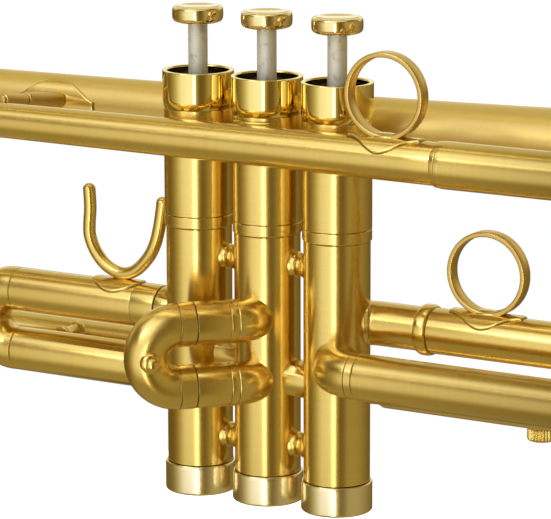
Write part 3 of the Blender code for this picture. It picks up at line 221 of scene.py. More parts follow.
# Each brass has a colour, a deeper one, roughness, and the strengths of its brush, bump and coat
SATIN = brass("satin_brass", (0.86, 0.66, 0.24), (0.80, 0.58, 0.18), 0.25, 0.8, 0.012, 0.35)
CASING = brass("satin_casing_brass", (0.86, 0.66, 0.24), (0.80, 0.58, 0.18), 0.22, 1.1, 0.03, 0.3)
# The bell's brass is a little lighter than the satin brass: painted light for the brighter light on
# the bell.
BELL = brass("satin_bell_brass", (0.88, 0.68, 0.27), (0.82, 0.60, 0.21), 0.4, 0.5, 0.03, 0.1)
POLISHED = brass("polished_brass", (0.98, 0.81, 0.37), (0.93, 0.73, 0.28), 0.06, 0.1, 0.02, 0.1)
# The bottom caps' brass is paler than the polished brass: a painted reflection of the pale floor
# below.
PALE = brass("pale_polished_brass", (0.97, 0.86, 0.63), (0.93, 0.80, 0.53), 0.24, 0.1, 0.02, 0.2)
BUTTON = brass("polished_button_brass", (0.97, 0.8, 0.46), (0.93, 0.73, 0.38), 0.12, 0.1, 0.02, 0.1)
RING = brass("matte_ring_brass", (0.80, 0.58, 0.22), (0.72, 0.49, 0.16), 0.34, 0.2, 0.02, 0.1)
# Each steel has a colour, that of its dull marks, roughness, and its lines to a metre
NICKEL = steel("nickel_stem", (0.86, 0.86, 0.88), (0.44, 0.37, 0.28), 0.7, 5200.0)
PISTON = steel("nickel_piston", (0.66, 0.65, 0.62), (0.48, 0.47, 0.45), 0.22, 4200.0)
WIRE = steel("spring_steel", (0.50, 0.50, 0.51), (0.36, 0.36, 0.37), 0.35, 2600.0)
SILVER = steel("silver_plate", (0.90, 0.89, 0.86), (0.65, 0.64, 0.62), 0.10, 900.0)
FELT = felt()
CORK = cork()


# Surfaces

def unit(vector):
    """A vector of length one."""
    vector = np.asarray(vector, float)
    return vector / np.linalg.norm(vector)


def crosswise(axis):
    """Two unit vectors square to an axis and to each other."""
    axis = unit(axis)
    helper = Z if abs(axis[2]) < 0.9 else X
    first = unit(np.cross(helper, axis))
    return first, np.cross(axis, first)


def circle(first, second, sides):
    """Points round a circle or an oval, from its two half axes."""
    turn = np.linspace(0, math.tau, sides, endpoint=False)[:, None]
    return np.cos(turn) * first + np.sin(turn) * second


def outward(points, faces):
    """True if a surface's four-sided faces give it a positive volume, and so point outwards."""
    a, b, c, d = (points[faces[:, i]] for i in range(4))
    return np.einsum("ij,ij->i", a, np.cross(b, c) + np.cross(c, d)).sum() > 0


def lengths(points):
    """The length along a run of points, at each of them."""
    return np.append(0, np.cumsum(np.linalg.norm(np.diff(points, axis=0), axis=1)))


def outside_casings(points):
    """The points, with those in a casing's bore moved straight out from its axis into the wall."""
    points = points.copy()
    for x in VALVES.values():
        flat = points[:, :2] - (x, 0.0)
        reach = np.linalg.norm(flat, axis=1)
        stretch = np.maximum(1, CASING_WALL / np.maximum(reach, 1e-6))
        points[:, :2] = (x, 0.0) + flat * stretch[:, None]
    return points


def skin(name, rows, uvs, marks, body, material, nodes=(), loop_rows=False,
         coped=False):
    """A closed surface from rows of points, each row a ring.

    Neighbouring rows are joined by four-sided faces and each ring closes on itself. The rows close
    on each other too where loop_rows is set; otherwise a fan to the middle point closes each end.
    uvs is each row's length along the surface, and marks is each row's seam-and-shade value, for
    dark seams and painted shade, and its edge value. A coped surface ends on the valve casings that
    it meets.
    """
    rows = np.asarray(rows, float)
    count, sides = rows.shape[:2]
    points = rows.reshape(-1, 3)
    last = count if loop_rows else count - 1
    i, j = np.meshgrid(np.arange(last), np.arange(sides), indexing="ij")
    here, there = i * sides, (i + 1) % count * sides
    across = (j + 1) % sides
    faces = np.stack([here + j, here + across, there + across, there + j], -1).reshape(-1, 4)
    along = np.append(uvs, uvs[-1] + 1) if loop_rows else np.asarray(uvs, float)
    girth = np.linalg.norm(rows - np.roll(rows, 1, axis=1), axis=2).sum(1).mean()
    low, high = along[i], along[i + 1]
    left, right = j / sides * girth, (j + 1) / sides * girth
    around = ((low, left), (low, right), (high, right), (high, left))
    corners = np.stack([np.stack(pair, -1) for pair in around], 2).reshape(-1, 2)
    fans, fan_corners = [], []
    if not loop_rows:
        for end in (0, count - 1):
            middle = len(points)
            points = np.vstack([points, rows[end].mean(0)])
            ring = end * sides + np.arange(sides)
            turn = np.roll(ring, -1)
            pair = (turn, ring) if end == 0 else (ring, turn)
            fans.append(np.stack([pair[0], pair[1], np.full(sides, middle)], -1))
            fan_corners.append(np.full((sides * 3, 2), along[end]))
    if coped:
        points = outside_casings(points)
    if not outward(points, faces):
        faces = faces[:, ::-1]
        corners = corners.reshape(-1, 4, 2)[:, ::-1].reshape(-1, 2)
        fans = [fan[:, ::-1] for fan in fans]
    faces = faces.tolist() + [face for fan in fans for face in fan.tolist()]
    marks = np.repeat(np.asarray(marks, float), sides, axis=0)
    marks = np.vstack([marks, np.zeros((len(points) - len(marks), 2))])
    corners = np.vstack([corners, *fan_corners])
    return finish_piece(name, points, faces, corners, marks, body, material, nodes)


def finish_piece(name, points, faces, corners, marks, body, material, nodes):
    """A piece that rides on a body and stands for some nodes.

    corners is the UV of each face's corners in turn, and marks is each point's seam-and-shade value,
    for dark seams and painted shade, and its edge value.
    """
    mesh = bpy.data.meshes.new(name)
    mesh.from_pydata((points * MM).tolist(), [], faces)
    layer = mesh.uv_layers.new(name="UVMap")
    layer.data.foreach_set("uv", (corners * MM).astype(np.float32).ravel())
    for label, values in zip(MARKS, marks.T.astype(np.float32)):
        mesh.attributes.new(label, "FLOAT", "POINT").data.foreach_set("value", values.copy())
    mesh.polygons.foreach_set("use_smooth", np.ones(len(mesh.polygons), bool))
    mesh.update()
    piece = bpy.data.objects.new(name, mesh)
    bpy.context.scene.collection.objects.link(piece)
    mesh.materials.append(material)
    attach(piece, body)
    if nodes:
        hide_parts(*nodes)
    return piece


def rounded(corners, closed):
    """A profile with its corners rounded, and each point's seam-and-shade and edge value.

    A corner is (radius, height, rounding, seam-and-shade): the last darkens the colour for a dark
    joint and for painted shade in a groove or recess. The rounding runs along a smooth curve from
    one straight side to the next, over at most 45 percent of each.
    """
    full = [tuple(corner) + (0.0,) * (4 - len(corner)) for corner in corners]
    points, marks = [], []
    count = len(full)
    for i, (radius, height, size, seam_and_shade) in enumerate(full):
        here = np.array((radius, height))
        ends = not closed and i in (0, count - 1)
        if size <= 0 or ends:
            points.append(here)
            marks.append((seam_and_shade, 0.0))
            continue
        before = np.array(full[i - 1][:2])
        after = np.array(full[(i + 1) % count][:2])
        back, on = before - here, after - here
        reach = min(size, 0.45 * np.linalg.norm(back), 0.45 * np.linalg.norm(on))
        first, second = here + unit(back) * reach, here + unit(on) * reach
        for share in np.linspace(0, 1, 4):
            left = 1 - share
            points.append(left ** 2 * first + 2 * share * left * here + share ** 2 * second)
            marks.append((seam_and_shade, 1.0 if 0 < share < 1 and not seam_and_shade else 0.0))
    return np.array(points), np.array(marks)


def lathe(name, corners, at, axis, body, material, nodes=(), slot="satin_brass", sides=72,
          closed=True, coped=False):
    """A profile of (radius, height, rounding, seam-and-shade) corners turned round an axis through a
    point.

    A profile that isn't closed begins and ends beside the axis.
    """
    profile, marks = rounded(corners, closed)
    ring = circle(*crosswise(axis), sides)
    radius, height = profile[:, 0, None, None], profile[:, 1, None, None]
    rows = np.asarray(at, float) + height * unit(axis) + radius * ring
    return skin(name, rows, lengths(profile), marks, body, material, nodes, closed, coped)


def pipe(name, corners, bore, at, axis, body, material, nodes=(), sides=72, **more):
    """A turned tube: its outer corners from one end to the other, and a straight bore back."""
    inner = [(bore, end[1], 0.1) for end in (corners[-1], corners[0])]
    return lathe(name, list(corners) + inner, at, axis, body, material, nodes, sides=sides, **more)


def solid(name, corners, at, axis, body, material, nodes=(), sides=40, coped=False):
    """A turned piece with no bore: its outer corners, and a flat face at each end."""
    first, last = ((0.01, end[1]) for end in (corners[0], corners[-1]))
    profile = [first, *corners, last]
    lathe(name, profile, at, axis, body, material, nodes, sides=sides, closed=False, coped=coped)


def sweep(name, path, radii, body, material, nodes=(), sides=44, marks=None,
          flat=1.0, coped=False):
    """A round tube along a path, its rings square to the path and turned as little as possible.

    flat gives the tube's half height against its half width, for an oval rod.
    """
    path = np.asarray(path, float)
    radii = np.broadcast_to(np.asarray(radii, float), len(path))
    heading = np.gradient(path, axis=0)
    heading /= np.linalg.norm(heading, axis=1)[:, None]
    side, _ = crosswise(heading[0])
    rows = []
    for at, radius, along in zip(path, radii, heading):
        side = unit(side - along * (side @ along))
        rows.append(at + radius * circle(side, np.cross(along, side) * flat, sides))
    if marks is None:
        marks = np.zeros((len(path), 2))
    return skin(name, rows, lengths(path), marks, body, material, nodes, coped=coped)


def arc(start_at, heading, side, radius, angle, steps=40):
    """Points on an arc that leaves a point along a heading and turns towards a side."""
    turn = np.linspace(0, angle, steps)[:, None]
    return start_at + radius * (np.sin(turn) * heading + (1 - np.cos(turn)) * side)


def line(start_at, end_at, steps=12):
    """Points on a straight line."""
    share = np.linspace(0, 1, steps)[:, None]
    return np.asarray(start_at, float) * (1 - share) + np.asarray(end_at, float) * share


def joined(*runs):
    """Runs of points one after the other, with repeated points left out."""
    points = np.vstack(runs)
    keep = np.append(True, np.linalg.norm(np.diff(points, axis=0), axis=1) > 1e-4)
    return points[keep]


def smooth(knots, count):
    """A smooth run of points through some knots.

    Each span is a cubic, and at each knot it runs along the chord of the knots on either side.
    """
    ahead = np.vstack([2 * knots[0] - knots[1], knots, 2 * knots[-1] - knots[-2]])
    share = np.linspace(0, len(knots) - 1, count)
    span = np.clip(share.astype(int), 0, len(knots) - 2)
    t = (share - span)[:, None]
    a, b, c, d = (ahead[span + k] for k in range(4))
    square, cube = 2 * a - 5 * b + 4 * c - d, 3 * b - a - 3 * c + d
    return 0.5 * (2 * b + (c - a) * t + square * t ** 2 + cube * t ** 3)


def bands(path, base, rings):
    """Radii and seam-and-shade values along a path with raised bands.

    Each ring is (from, to, rise): the radius rises by its amount between two lengths along the
    path, and a thin dark line shows at each end: a seam, with painted shade where the band steps up.
    """
    blend, seam_and_shade = 0.12, 0.2
    length = lengths(path)
    radii = np.broadcast_to(np.asarray(base, float), len(path)).copy()
    marks = np.zeros((len(path), 2))
    for low, high, rise in rings:
        up, down = (np.clip(gap / blend, 0, 1) for gap in (length - low, high - length))
        radii += rise * up * down
        for end in (low, high):
            marks[:, 0] = np.maximum(marks[:, 0], np.clip(1 - np.abs(length - end) / seam_and_shade, 0, 1))
    return radii, marks


def refined(path, places, reach=0.5, steps=9):
    """A path with extra points near some lengths along it, where its radius changes."""
    length = lengths(path)
    extra = np.concatenate([np.linspace(p - reach, p + reach, steps) for p in places])
    wanted = np.unique(np.clip(np.concatenate([length, extra]), 0, length[-1]).round(5))
    return np.stack([np.interp(wanted, length, path[:, k]) for k in range(3)], 1)


def plate_lifts(inset, edge, thickness, depth, sink=0.05):
    """How far a plate's top and underside stand out from its tube, by distance in from its outline.

    Over the width of its edge the top climbs to its thickness along a quarter circle, and the
    underside goes down to its depth along a straight line. Both are sunk a little into the tube.
    """
    share = np.clip(inset / edge, 0, 1)
    top = thickness * np.sqrt(np.clip(1 - (1 - share) ** 2, 0, 1))
    return top - sink, -depth * share - sink


def saddle_plate(name, at, radius, length, half_width, body, thickness=0.75, tip=1.8, turn=0.0,
                 curve=2.0):
    """A thin pointed plate on a tube along X, on its top or turned round it from there.

    Its half width follows a power of a cosine from the tips to the middle: squared, its outline is
    an S-curve, and lower powers fill it out. Its top falls to the tube along a rounded edge.
    """
    along = np.linspace(-1, 1, 61)
    u, v = np.meshgrid(along, np.linspace(-1, 1, 41), indexing="ij")
    width = (tip + (half_width - tip) * np.abs(np.cos(np.pi * along / 2)) ** curve)[:, None]
    inset = np.minimum(length / 2 * (1 - np.abs(u)), width * (1 - np.abs(v)))
    angle = v * width / radius + turn
    layers = []
    for lift in plate_lifts(inset, 0.5, thickness, 0.35):
        reach = radius + lift
        grid = at[0] + u * length / 2, at[1] + reach * np.sin(angle), at[2] + reach * np.cos(angle)
        layers.append(np.stack(grid, -1))
    sheet(name, layers, body)


def sheet(name, layers, body, nodes=()):
    """A closed thin plate from a top and a bottom grid of points, its rim painted shadow and dirt.
    """
    top, low = layers
    rows, columns = top.shape[:2]
    number = np.arange(rows * columns).reshape(rows, columns)
    inside = np.zeros((rows, columns), bool)
    inside[1:-1, 1:-1] = True
    under = number.copy()
    under[inside] = rows * columns + np.arange(inside.sum())
    points = np.vstack([top.reshape(-1, 3), low[inside]])
    faces = []
    for index, order in ((number, 1), (under, -1)):
        quads = np.stack([index[:-1, :-1], index[1:, :-1], index[1:, 1:], index[:-1, 1:]], -1)
        faces.append(quads.reshape(-1, 4)[:, ::order])
    faces = np.vstack(faces)
    if not outward(points, faces):
        faces = faces[:, ::-1]
    marks = np.zeros((len(points), 2))
    # The rim gets a dark seam value: a painted shadow line round the plate, with dirt.
    marks[:rows * columns, 0] = 0.9 * ~inside.ravel()
    corners = points[faces.ravel()][:, :2]
    finish_piece(name, points, faces.tolist(), corners, marks, body, SATIN, nodes)


# Valves

def make_valve(number):
    """A casing with its caps and felt, and the stem, button and spring of its piston."""
    x = VALVES[number]
    body = f"valve_{number}"
    foot = (x, 0, 0)

    def turned(part, corners, rides_on, material, slot, sides, closed=True):
        """A turned piece on the valve's axis, which stands for the node of its name."""
        node = f"{part}_{number}"
        lathe(node + "_skin", corners, foot, Z, rides_on, material, [node], slot, sides, closed)

    # The seam values darken the ring groove and the step below it, dark lines with painted shade in
    # them, and paint shade where the bottom cap covers the casing.
    casing = [
        (9.15, 53.6, 0.1), (9.15, 51.3), (9.75, 51.3, 0.12),
        (9.75, 21.17, 0.06), (9.58, 21.0, 0.04, 1.0), (9.75, 20.83, 0.06),
        (9.75, 17.85, 0.15), (9.42, 17.62, 0.05, 0.8), (9.35, 17.35, 0.1),
        (9.35, -51.2, 0.1), (9.0, -51.2, 0.0, 0.45), (9.0, -58.4, 0.1),
    ]
    pipe(f"casing_{number}_skin", casing, 8.72, foot, Z, ROOT, CASING, [f"casing_{number}"], 96)
    # Inside the cap's recess the seam values paint shade on the wall round the felt.
    top_cap = [
        (9.55, 61.9, 0.25), (10.1, 61.9, 0.28), (10.1, 53.0, 1.2), (9.68, 51.4, 0.35),
        (9.42, 51.36, 0.0, 0.6), (9.42, 53.8, 0.0, 0.6), (3.1, 53.8, 0.1), (3.1, 54.9, 0.1),
        (8.68, 54.9, 0.3, 0.9), (8.68, 61.0, 0.05, 0.75), (8.68, 61.6, 0.2), (8.9, 61.9, 0.1),
    ]
    turned("top_cap", top_cap, ROOT, POLISHED, "polished_brass", 96)
    pad = [(8.3, 58.2, 0.8), (8.38, 55.1, 0.3), (3.35, 55.1, 0.2), (3.3, 58.3, 0.5)]
    turned("cap_felt", pad, ROOT, FELT, "brown_felt", 64)
    # Inside the cap's rim a seam value paints shade.
    bottom_cap = [
        (0.01, -59.95), (8.6, -59.95, 0.2), (9.5, -60.0, 0.35), (10.1, -59.55, 0.5),
        (10.1, -52.15, 0.3), (9.95, -51.38, 0.2), (9.3, -51.32, 0.0, 0.45), (9.3, -58.8, 0.1),
        (0.01, -58.8),
    ]
    turned("bottom_cap", bottom_cap, ROOT, PALE, "polished_brass", 96, closed=False)
    stem = [(0.01, 76.3), (2.73, 76.3, 0.1), (2.73, 50.1, 0.2), (0.01, 50.1)]
    turned("stem", stem, body, NICKEL, "nickel_steel", 48, closed=False)
    button = [
        (0.01, 79.42), (3.4, 79.46, 2.0), (5.5, 79.75, 0.8), (6.35, 79.9, 0.5), (7.05, 79.45, 0.7),
        (7.2, 78.3, 0.9), (7.15, 76.5, 0.7), (6.7, 75.7, 0.7), (5.4, 75.25, 0.5), (3.1, 75.15, 0.2),
        (0.01, 75.15),
    ]
    turned("finger_button", button, body, BUTTON, "polished_brass", 80, closed=False)
    coils, radius, low, rise = 4, 6.2, -57.9, 25.0
    turns = np.linspace(0, coils, coils * 28 + 1)
    wind = math.tau * turns
    height = low + rise * turns / coils
    coil = np.stack([x + radius * np.cos(wind), radius * np.sin(wind), height], 1)
    node = f"valve_spring_{number}"
    spring = sweep(node + "_coil", coil, 0.6, ROOT, WIRE, [node], 12)
    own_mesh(spring)
    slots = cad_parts[f"piston_{number}"].data.materials
    slots.clear()
    slots.append(PISTON)


def make_links():
    """Balusters turned like small spools, and the air knuckles, between neighbouring casings."""
    spool = [
        (3.6, 4.2, 0.2), (3.6, 0.75, 0.5), (2.4, 0.55, 0.15), (2.3, 0.0, 0.2),
        (2.4, -0.55, 0.15), (3.6, -0.75, 0.5), (3.6, -4.2, 0.2),
    ]
    tube = [(5.25, 3.6, 0.1), (5.25, -3.6, 0.1)]
    for first, knuckle_height in ((1, -18.3), (2, -23.6)):
        pair = f"{first}_{first + 1}"
        middle = (VALVES[first] + VALVES[first + 1]) / 2
        for level, height in (("upper", 9.2), ("lower", -42.8)):
            name = f"baluster_{level}_{pair}"
            at = (middle, 0, height)
            solid(name + "_skin", spool, at, X, ROOT, SATIN, [name], coped=True)
        name = f"knuckle_{pair}"
        at = (middle, 0, knuckle_height)
        pipe(name + "_skin", tube, 4.8, at, X, ROOT, SATIN, [name], 48, coped=True)


# Bell, leadpipe and mouthpiece

def bell_radius(x):
    """The bell's outer radius: its rim's, times a power of the distance behind the rim."""
    rim_radius, near, power = 61.5, 10.4, -0.6
    return rim_radius * ((BELL_RIM - x + near) / near) ** power


def make_bell():
    """The flared bell with its rolled rim, and the bow and tail behind it."""
    share = np.linspace(0, 1, 90) ** 2.2
    length, wall = 382.0, 0.6
    outer = [(bell_radius(x), x) for x in BELL_RIM - length * share]
    inner = [(r - wall, x) for r, x in reversed(outer)]
    rim = [
        (60.9, 271.35, 0.4), (62.0, 271.4, 0.5), (62.75, 270.8, 0.5), (62.75, 269.9, 0.5),
        (62.2, 269.2, 0.4), (61.3, 269.3, 0.3),
    ]
    profile = rim + [(r, x) for r, x in outer if x < 268.6] + inner[:-1]
    lathe("bell_skin", profile, BELL_AXIS, X, ROOT, BELL, ["bell"], sides=144)
    tail_height, tail_radius = -26.5, 6.0
    bow_radius = (BELL_AXIS[2] - tail_height) / 2
    bend_at = BELL_AXIS - 113.3 * X
    elbow_radius = BELL_AXIS[1] - 9.65
    turn_at = np.array((VALVES[1] - elbow_radius, BELL_AXIS[1], tail_height))
    bow = arc(bend_at, -X, -Z, bow_radius, math.pi, 90)
    elbow = arc(turn_at, X, -Y, elbow_radius, math.pi / 2, 30)
    path = joined(
        line(BELL_AXIS - 111.0 * X, bend_at, 4), bow, line(bow[-1], turn_at, 40), elbow,
        line(elbow[-1], elbow[-1] - 2.2 * Y, 4),
    )
    taper = np.clip(lengths(path) / (math.pi * bow_radius), 0, 1)
    radii = bell_radius(BELL_RIM - length) * (1 - taper) + tail_radius * taper
    sweep("bell_bow_skin", path, radii, ROOT, SATIN, ["bell_bow"], 56, coped=True)


def pipe_radius(x):
    """The leadpipe's outer radius, which grows evenly from its back end."""
    back, length, radius, growth = -181.0, 244.2, 4.42, 1.42
    return radius + (x - back) / length * growth


def make_leadpipe():
    """The leadpipe, the receiver with its end ring, and the mouthpiece."""
    leadpipe = [(pipe_radius(x), x, 0.08) for x in np.linspace(63.4, -181, 30)]
    leadpipe += [(3.8, -181, 0.08), (5.2, 63.4, 0.08)]
    lathe("leadpipe_skin", leadpipe, LEADPIPE_AXIS, X, ROOT, SATIN, ["leadpipe"], sides=72)
    receiver = [
        (5.3, -167.4, 0.3), (6.3, -169.6, 1.2), (6.6, -173.0, 2.0), (6.6, -203.0, 0.5),
        (6.45, -203.3, 0.1, 0.7), (6.6, -203.6, 0.2), (6.6, -205.4, 0.4), (7.4, -206.2, 0.5),
        (7.4, -211.4, 0.6), (6.9, -212.0, 0.4), (5.3, -212.0, 0.3), (4.85, -168.5, 0.3),
    ]
    name = "mouthpiece_receiver"
    lathe(name + "_skin", receiver, LEADPIPE_AXIS, X, ROOT, SATIN, [name], sides=64)
    lip = LEADPIPE_AXIS - 275.0 * X
    outline = [
        (4.45, 87, 0.2), (5.0, 63, 0.4), (5.3, 46, 5), (6.6, 36, 7), (9.6, 26, 6), (11.6, 16, 6),
        (12.4, 7.2, 1.0), (13.3, 6.0, 1.0), (13.6, 4.0, 1.2), (13.2, 0.9, 1.4), (11.8, 0.0, 1.0),
        (9.6, 0.35, 1.0), (8.4, 1.8, 1.0), (7.6, 5.5, 3), (5.4, 9.6, 2.5), (2.2, 13.0, 1.2),
        (1.85, 16.5, 1.5), (3.6, 87, 0.2),
    ]
    body = "mouthpiece_body"
    lathe("mouthpiece_skin", outline, lip, X, body, SILVER, ["mouthpiece"], "silver_plate", 88)


# Slides

def u_path(axis, heading, upper, lower, bow_at, upper_from, lower_from, steps=60):
    """Out along the upper leg, round the bow and back along the lower leg."""
    axis = np.array((*axis, 0.0))
    high, low = axis + Z * upper, axis + Z * lower
    turn = arc(high + heading * bow_at, heading, -Z, (upper - lower) / 2, math.pi, steps)
    out = line(high + heading * upper_from, high + heading * bow_at, 20)
    back = line(turn[-1], low + heading * lower_from, 20)
    return joined(out, turn, back)


def stepped(path, thin, thick, starts, ends):
    """Radii that are thin up to a length from a path's start and its end, and thick between."""
    length = lengths(path)
    left = length[-1] - length
    blend = 0.1
    inside = np.clip((length - starts) / blend, 0, 1) * np.clip((left - ends) / blend, 0, 1)
    return thin + (thick - thin) * inside


def banded(path, near, far, fine, rise):
    """A slide's path, refined at the ends of a band on each leg, and the bands' rise and seams."""
    length = lengths(path)[-1]
    path = refined(path, [fine, far, length - far, length - fine])
    return path, *bands(path, 0.0, [(near, far, rise), (length - far, length - near, rise)])


def make_tuning_slide():
    """Sleeves, inlet elbow, tuning bow with its brace, and the water key."""
    mouth = [(6.7, 136, 0.25), (6.7, 131.2, 0.2), (6.45, 131.0, 0.1, 0.6)]
    upper = [
        *mouth, (6.45, 66.2, 0.4), (6.42, 65.1, 0.1), (6.3, 64.98, 0.05, 0.5), (6.33, 64.86, 0.06),
        (6.22, 63.6, 0.1), (5.86, 63.42, 0.04, 0.4), (5.3, 63.42, 0.05), (6.0, 68.0, 0.1),
        (6.0, 136, 0.1),
    ]
    lathe("tuning_sleeve_upper_skin", upper, LEADPIPE_AXIS, X, ROOT, SATIN, ["tuning_sleeve_upper"])
    out_y, height = LOWER_TUNING_AXIS[1:]
    centre = np.array((VALVES[3], 0, height))
    angle, bend = math.radians(63), 10.0
    leaving = np.array((math.cos(angle), -math.sin(angle), 0))
    inside = np.array((math.sin(angle), math.cos(angle), 0))
    straight = (-out_y - bend * (1 - math.cos(angle))) / math.sin(angle)
    bend_at = centre + leaving * straight
    turn = arc(bend_at, leaving, inside, bend, angle, 40)
    path = joined(
        line(centre + leaving * 7.6, bend_at, 8), turn, line(turn[-1], turn[-1] + X * 2.3, 5),
    )
    total = lengths(path)[-1]
    collar = total - 2.2
    path = refined(path, [collar, total - 0.1])
    radii, marks = bands(path, 6.3, [(collar, total + 1, 0.14)])
    sweep("inlet_elbow_skin", path, radii, ROOT, SATIN, ["inlet_elbow"], 56, marks, coped=True)
    back = turn[-1][0] + 2.35
    lower = [*mouth, (6.48, back + 0.35, 0.1), (6.35, back + 0.05, 0.1, 1.0)]
    name = "tuning_sleeve_lower"
    pipe(name + "_skin", lower, 6.0, LOWER_TUNING_AXIS, X, ROOT, SATIN, [name])

    body = "tuning_slide"
    path = u_path(LEADPIPE_AXIS[:2], X, LEADPIPE_AXIS[2], height, 141.0, 74.0, 74.0, 90)
    path, rise, marks = banded(path, 62.4, 66.8, 62.4, 0.16)
    radii = stepped(path, 5.7, 6.45, 62.3, 62.3)
    sweep("tuning_slide_bow_skin", path, radii + rise, body, SATIN, ["tuning_slide_bow"], 64, marks)
    post = [
        (4.0, 30.6, 0.3), (4.0, 24.5, 0.5), (3.2, 23.6, 0.5), (2.5, 23.3, 0.6), (2.5, 19.2, 0.4),
        (1.9, 18.6, 0.5), (1.9, -18.6, 0.5), (2.5, -19.2, 0.4), (2.5, -23.3, 0.6),
        (3.2, -23.6, 0.5), (4.0, -24.5, 0.5), (4.0, -30.6, 0.3),
    ]
    solid("tuning_brace_skin", post, (139.6, -18, 14.85), Z, body, SATIN)
    make_water_key(body)


def make_water_key(body):
    """Ears and nipple on the bow, and the lever with its cork pad and touch plate."""
    pivot = np.array((139.6, -18.0, -25.3))
    for label, side in (("right", -1), ("left", 1)):
        at = pivot + Y * side * 3.5
        path = joined(line(at + Z * 4.6, at, 8), line(at, at - Z * 1.6, 4))
        sweep(f"key_ear_{label}", path, [2.3] * 9 + [2.1, 1.7], body, SATIN, sides=32, flat=0.3)
    angle = math.radians(20)
    out = np.array((math.sin(angle), 0, -math.cos(angle)))
    bow_centre, bow_radius, tube_radius = np.array((141.0, -18, 14.85)), 30.55, 6.45
    skin_at = bow_centre + out * (bow_radius + tube_radius)
    nipple = [
        (0.9, 2.15, 0.1), (1.9, 2.15, 0.3), (2.1, 0.6, 0.4), (2.9, -0.5, 0.4), (2.9, -0.9),
        (0.9, -0.9),
    ]
    lathe("key_nipple", nipple, skin_at, out, body, SATIN, sides=36)
    lever = "water_key_lever"
    pad_at = skin_at + out * 2.5
    cup = [(1.6, 2.3, 0.4), (2.8, 1.7, 0.5), (3.0, 0.9, 0.3), (3.0, 0.5, 0.1)]
    solid("key_cup", cup, pad_at, out, lever, SATIN)
    disc = [(0.01, 0.9), (2.6, 0.9, 0.1), (2.75, 0.05, 0.25), (0.01, 0.02)]
    lathe("key_cork", disc, pad_at, out, lever, CORK, closed=False, sides=36)
    tip, touch = pad_at + out * 2.0, pivot - X * 23 - Z * 5
    knots = np.array([
        tip, pivot * 0.4 + tip * 0.6 - Z * 1.2, pivot - Z * 0.6, (pivot + touch) / 2 - Z * 1.2,
        touch,
    ])
    share = np.linspace(0, 4, 60)
    path = np.stack([np.interp(share, np.arange(5), knots[:, k]) for k in range(3)], 1)
    # Each pass moves every point a little towards its neighbours, which rounds the arm's corners
    for _ in range(30):
        path[1:-1] = (path[:-2] + 2 * path[1:-1] + path[2:]) / 4
    sweep("water_key_arm", path, 1.15, lever, SATIN, ["water_key"], 28, flat=1.5)
    barrel = [
        (0.8, 4.2, 0.1), (0.8, 2.5), (1.7, 2.5, 0.2), (1.7, -2.5, 0.2), (0.8, -2.5),
        (0.8, -4.2, 0.1),
    ]
    solid("key_barrel", barrel, pivot, Y, lever, SATIN, sides=32)
    plate = [(3.6, 0.9, 0.4), (3.9, 0.3, 0.3), (3.6, -0.3, 0.3)]
    solid("key_touch", plate, touch + X * 1.5 - Z * 0.2, Z, lever, SATIN)


def make_first_slide():
    """Fixed tubes from the first valve, the moving sleeve and bow, and the thumb saddle."""
    upper, lower = -8.26, -26.16
    upper_at, lower_at = (0, 0, upper), (0, 0, lower)
    inner = [(6.25, -30.0, 0.1), (6.25, -34.45, 0.15), (5.72, -34.6, 0.05, 0.5), (5.72, -80.8, 0.1)]
    name = "first_inner_tube"
    pipe(name + "_skin", inner, 5.25, upper_at, X, ROOT, SATIN, [name], coped=True)
    sleeve = [(6.39, -30.0, 0.1), (6.39, -84.4, 0.1), (6.3, -84.7, 0.12, 0.9)]
    name = "first_lower_sleeve"
    pipe(name + "_skin", sleeve, 6.0, lower_at, X, ROOT, SATIN, [name], coped=True)
    body = "first_slide"
    moving = [
        (6.35, -34.7, 0.12, 0.6), (6.5, -34.9, 0.12), (6.5, -42.35, 0.08), (6.36, -42.5, 0.05, 1.0),
        (6.42, -42.65, 0.08), (6.39, -84.4, 0.1), (6.3, -84.7, 0.12, 0.9),
    ]
    pipe("first_slide_sleeve_skin", moving, 6.0, upper_at, X, body, SATIN, ["first_slide_sleeve"])
    path = u_path((0, 0), -X, upper, lower, 86.6, 84.8, 40.0)
    length = lengths(path)[-1]
    path = refined(path, [0.3, length - 44.9])
    radii = stepped(path, 5.7, 6.42, -1, 44.8)
    sweep("first_slide_bow_skin", path, radii, body, SATIN, ["first_slide_bow"], 56)
    saddle_plate("thumb_saddle_plate", (-49.8, 0, upper), 6.4, 16.4, 6.2, body, tip=1.6, curve=0.9)
    make_thumb_saddle(body)


def make_thumb_saddle(body):
    """The thumb saddle's rod: a smooth U through some points in X and Z, with round tips."""
    knots = np.array([
        (-59.88, 25.75), (-59.47, 19.02), (-59.84, 13.68), (-59.62, 10.0), (-57.57, 5.63),
        (-53.96, 1.99), (-49.16, 0.31), (-44.44, 1.41), (-40.2, 5.25), (-37.56, 9.57),
        (-36.02, 14.62), (-34.94, 20.55), (-34.56, 24.08),
    ])
    radius, tip = 1.82, 1.6
    path = smooth(np.stack([knots[:, 0], np.zeros(len(knots)), knots[:, 1]], 1), 160)
    path = refined(path, [tip / 2, lengths(path)[-1] - tip / 2], tip / 2, 14)
    length = lengths(path)
    end = np.clip(np.minimum(length, length[-1] - length) / tip, 0.002, 1)
    radii = radius * np.sqrt(1 - (1 - end) ** 2)
    sweep("thumb_saddle_rod", path, radii, body, SATIN, ["thumb_saddle"], 36)


def port_path(x, leaving, inside, angle):
    """A port's path in plan: straight out of a casing, then round an elbow towards a side."""
    axis = np.array((x, 0.0, 0.0))
    turn_at = axis + leaving * 8.5
    out = line(axis + leaving * 7.0, turn_at, 6)
    return joined(out, arc(turn_at, leaving, inside, 8.0, angle, 30))


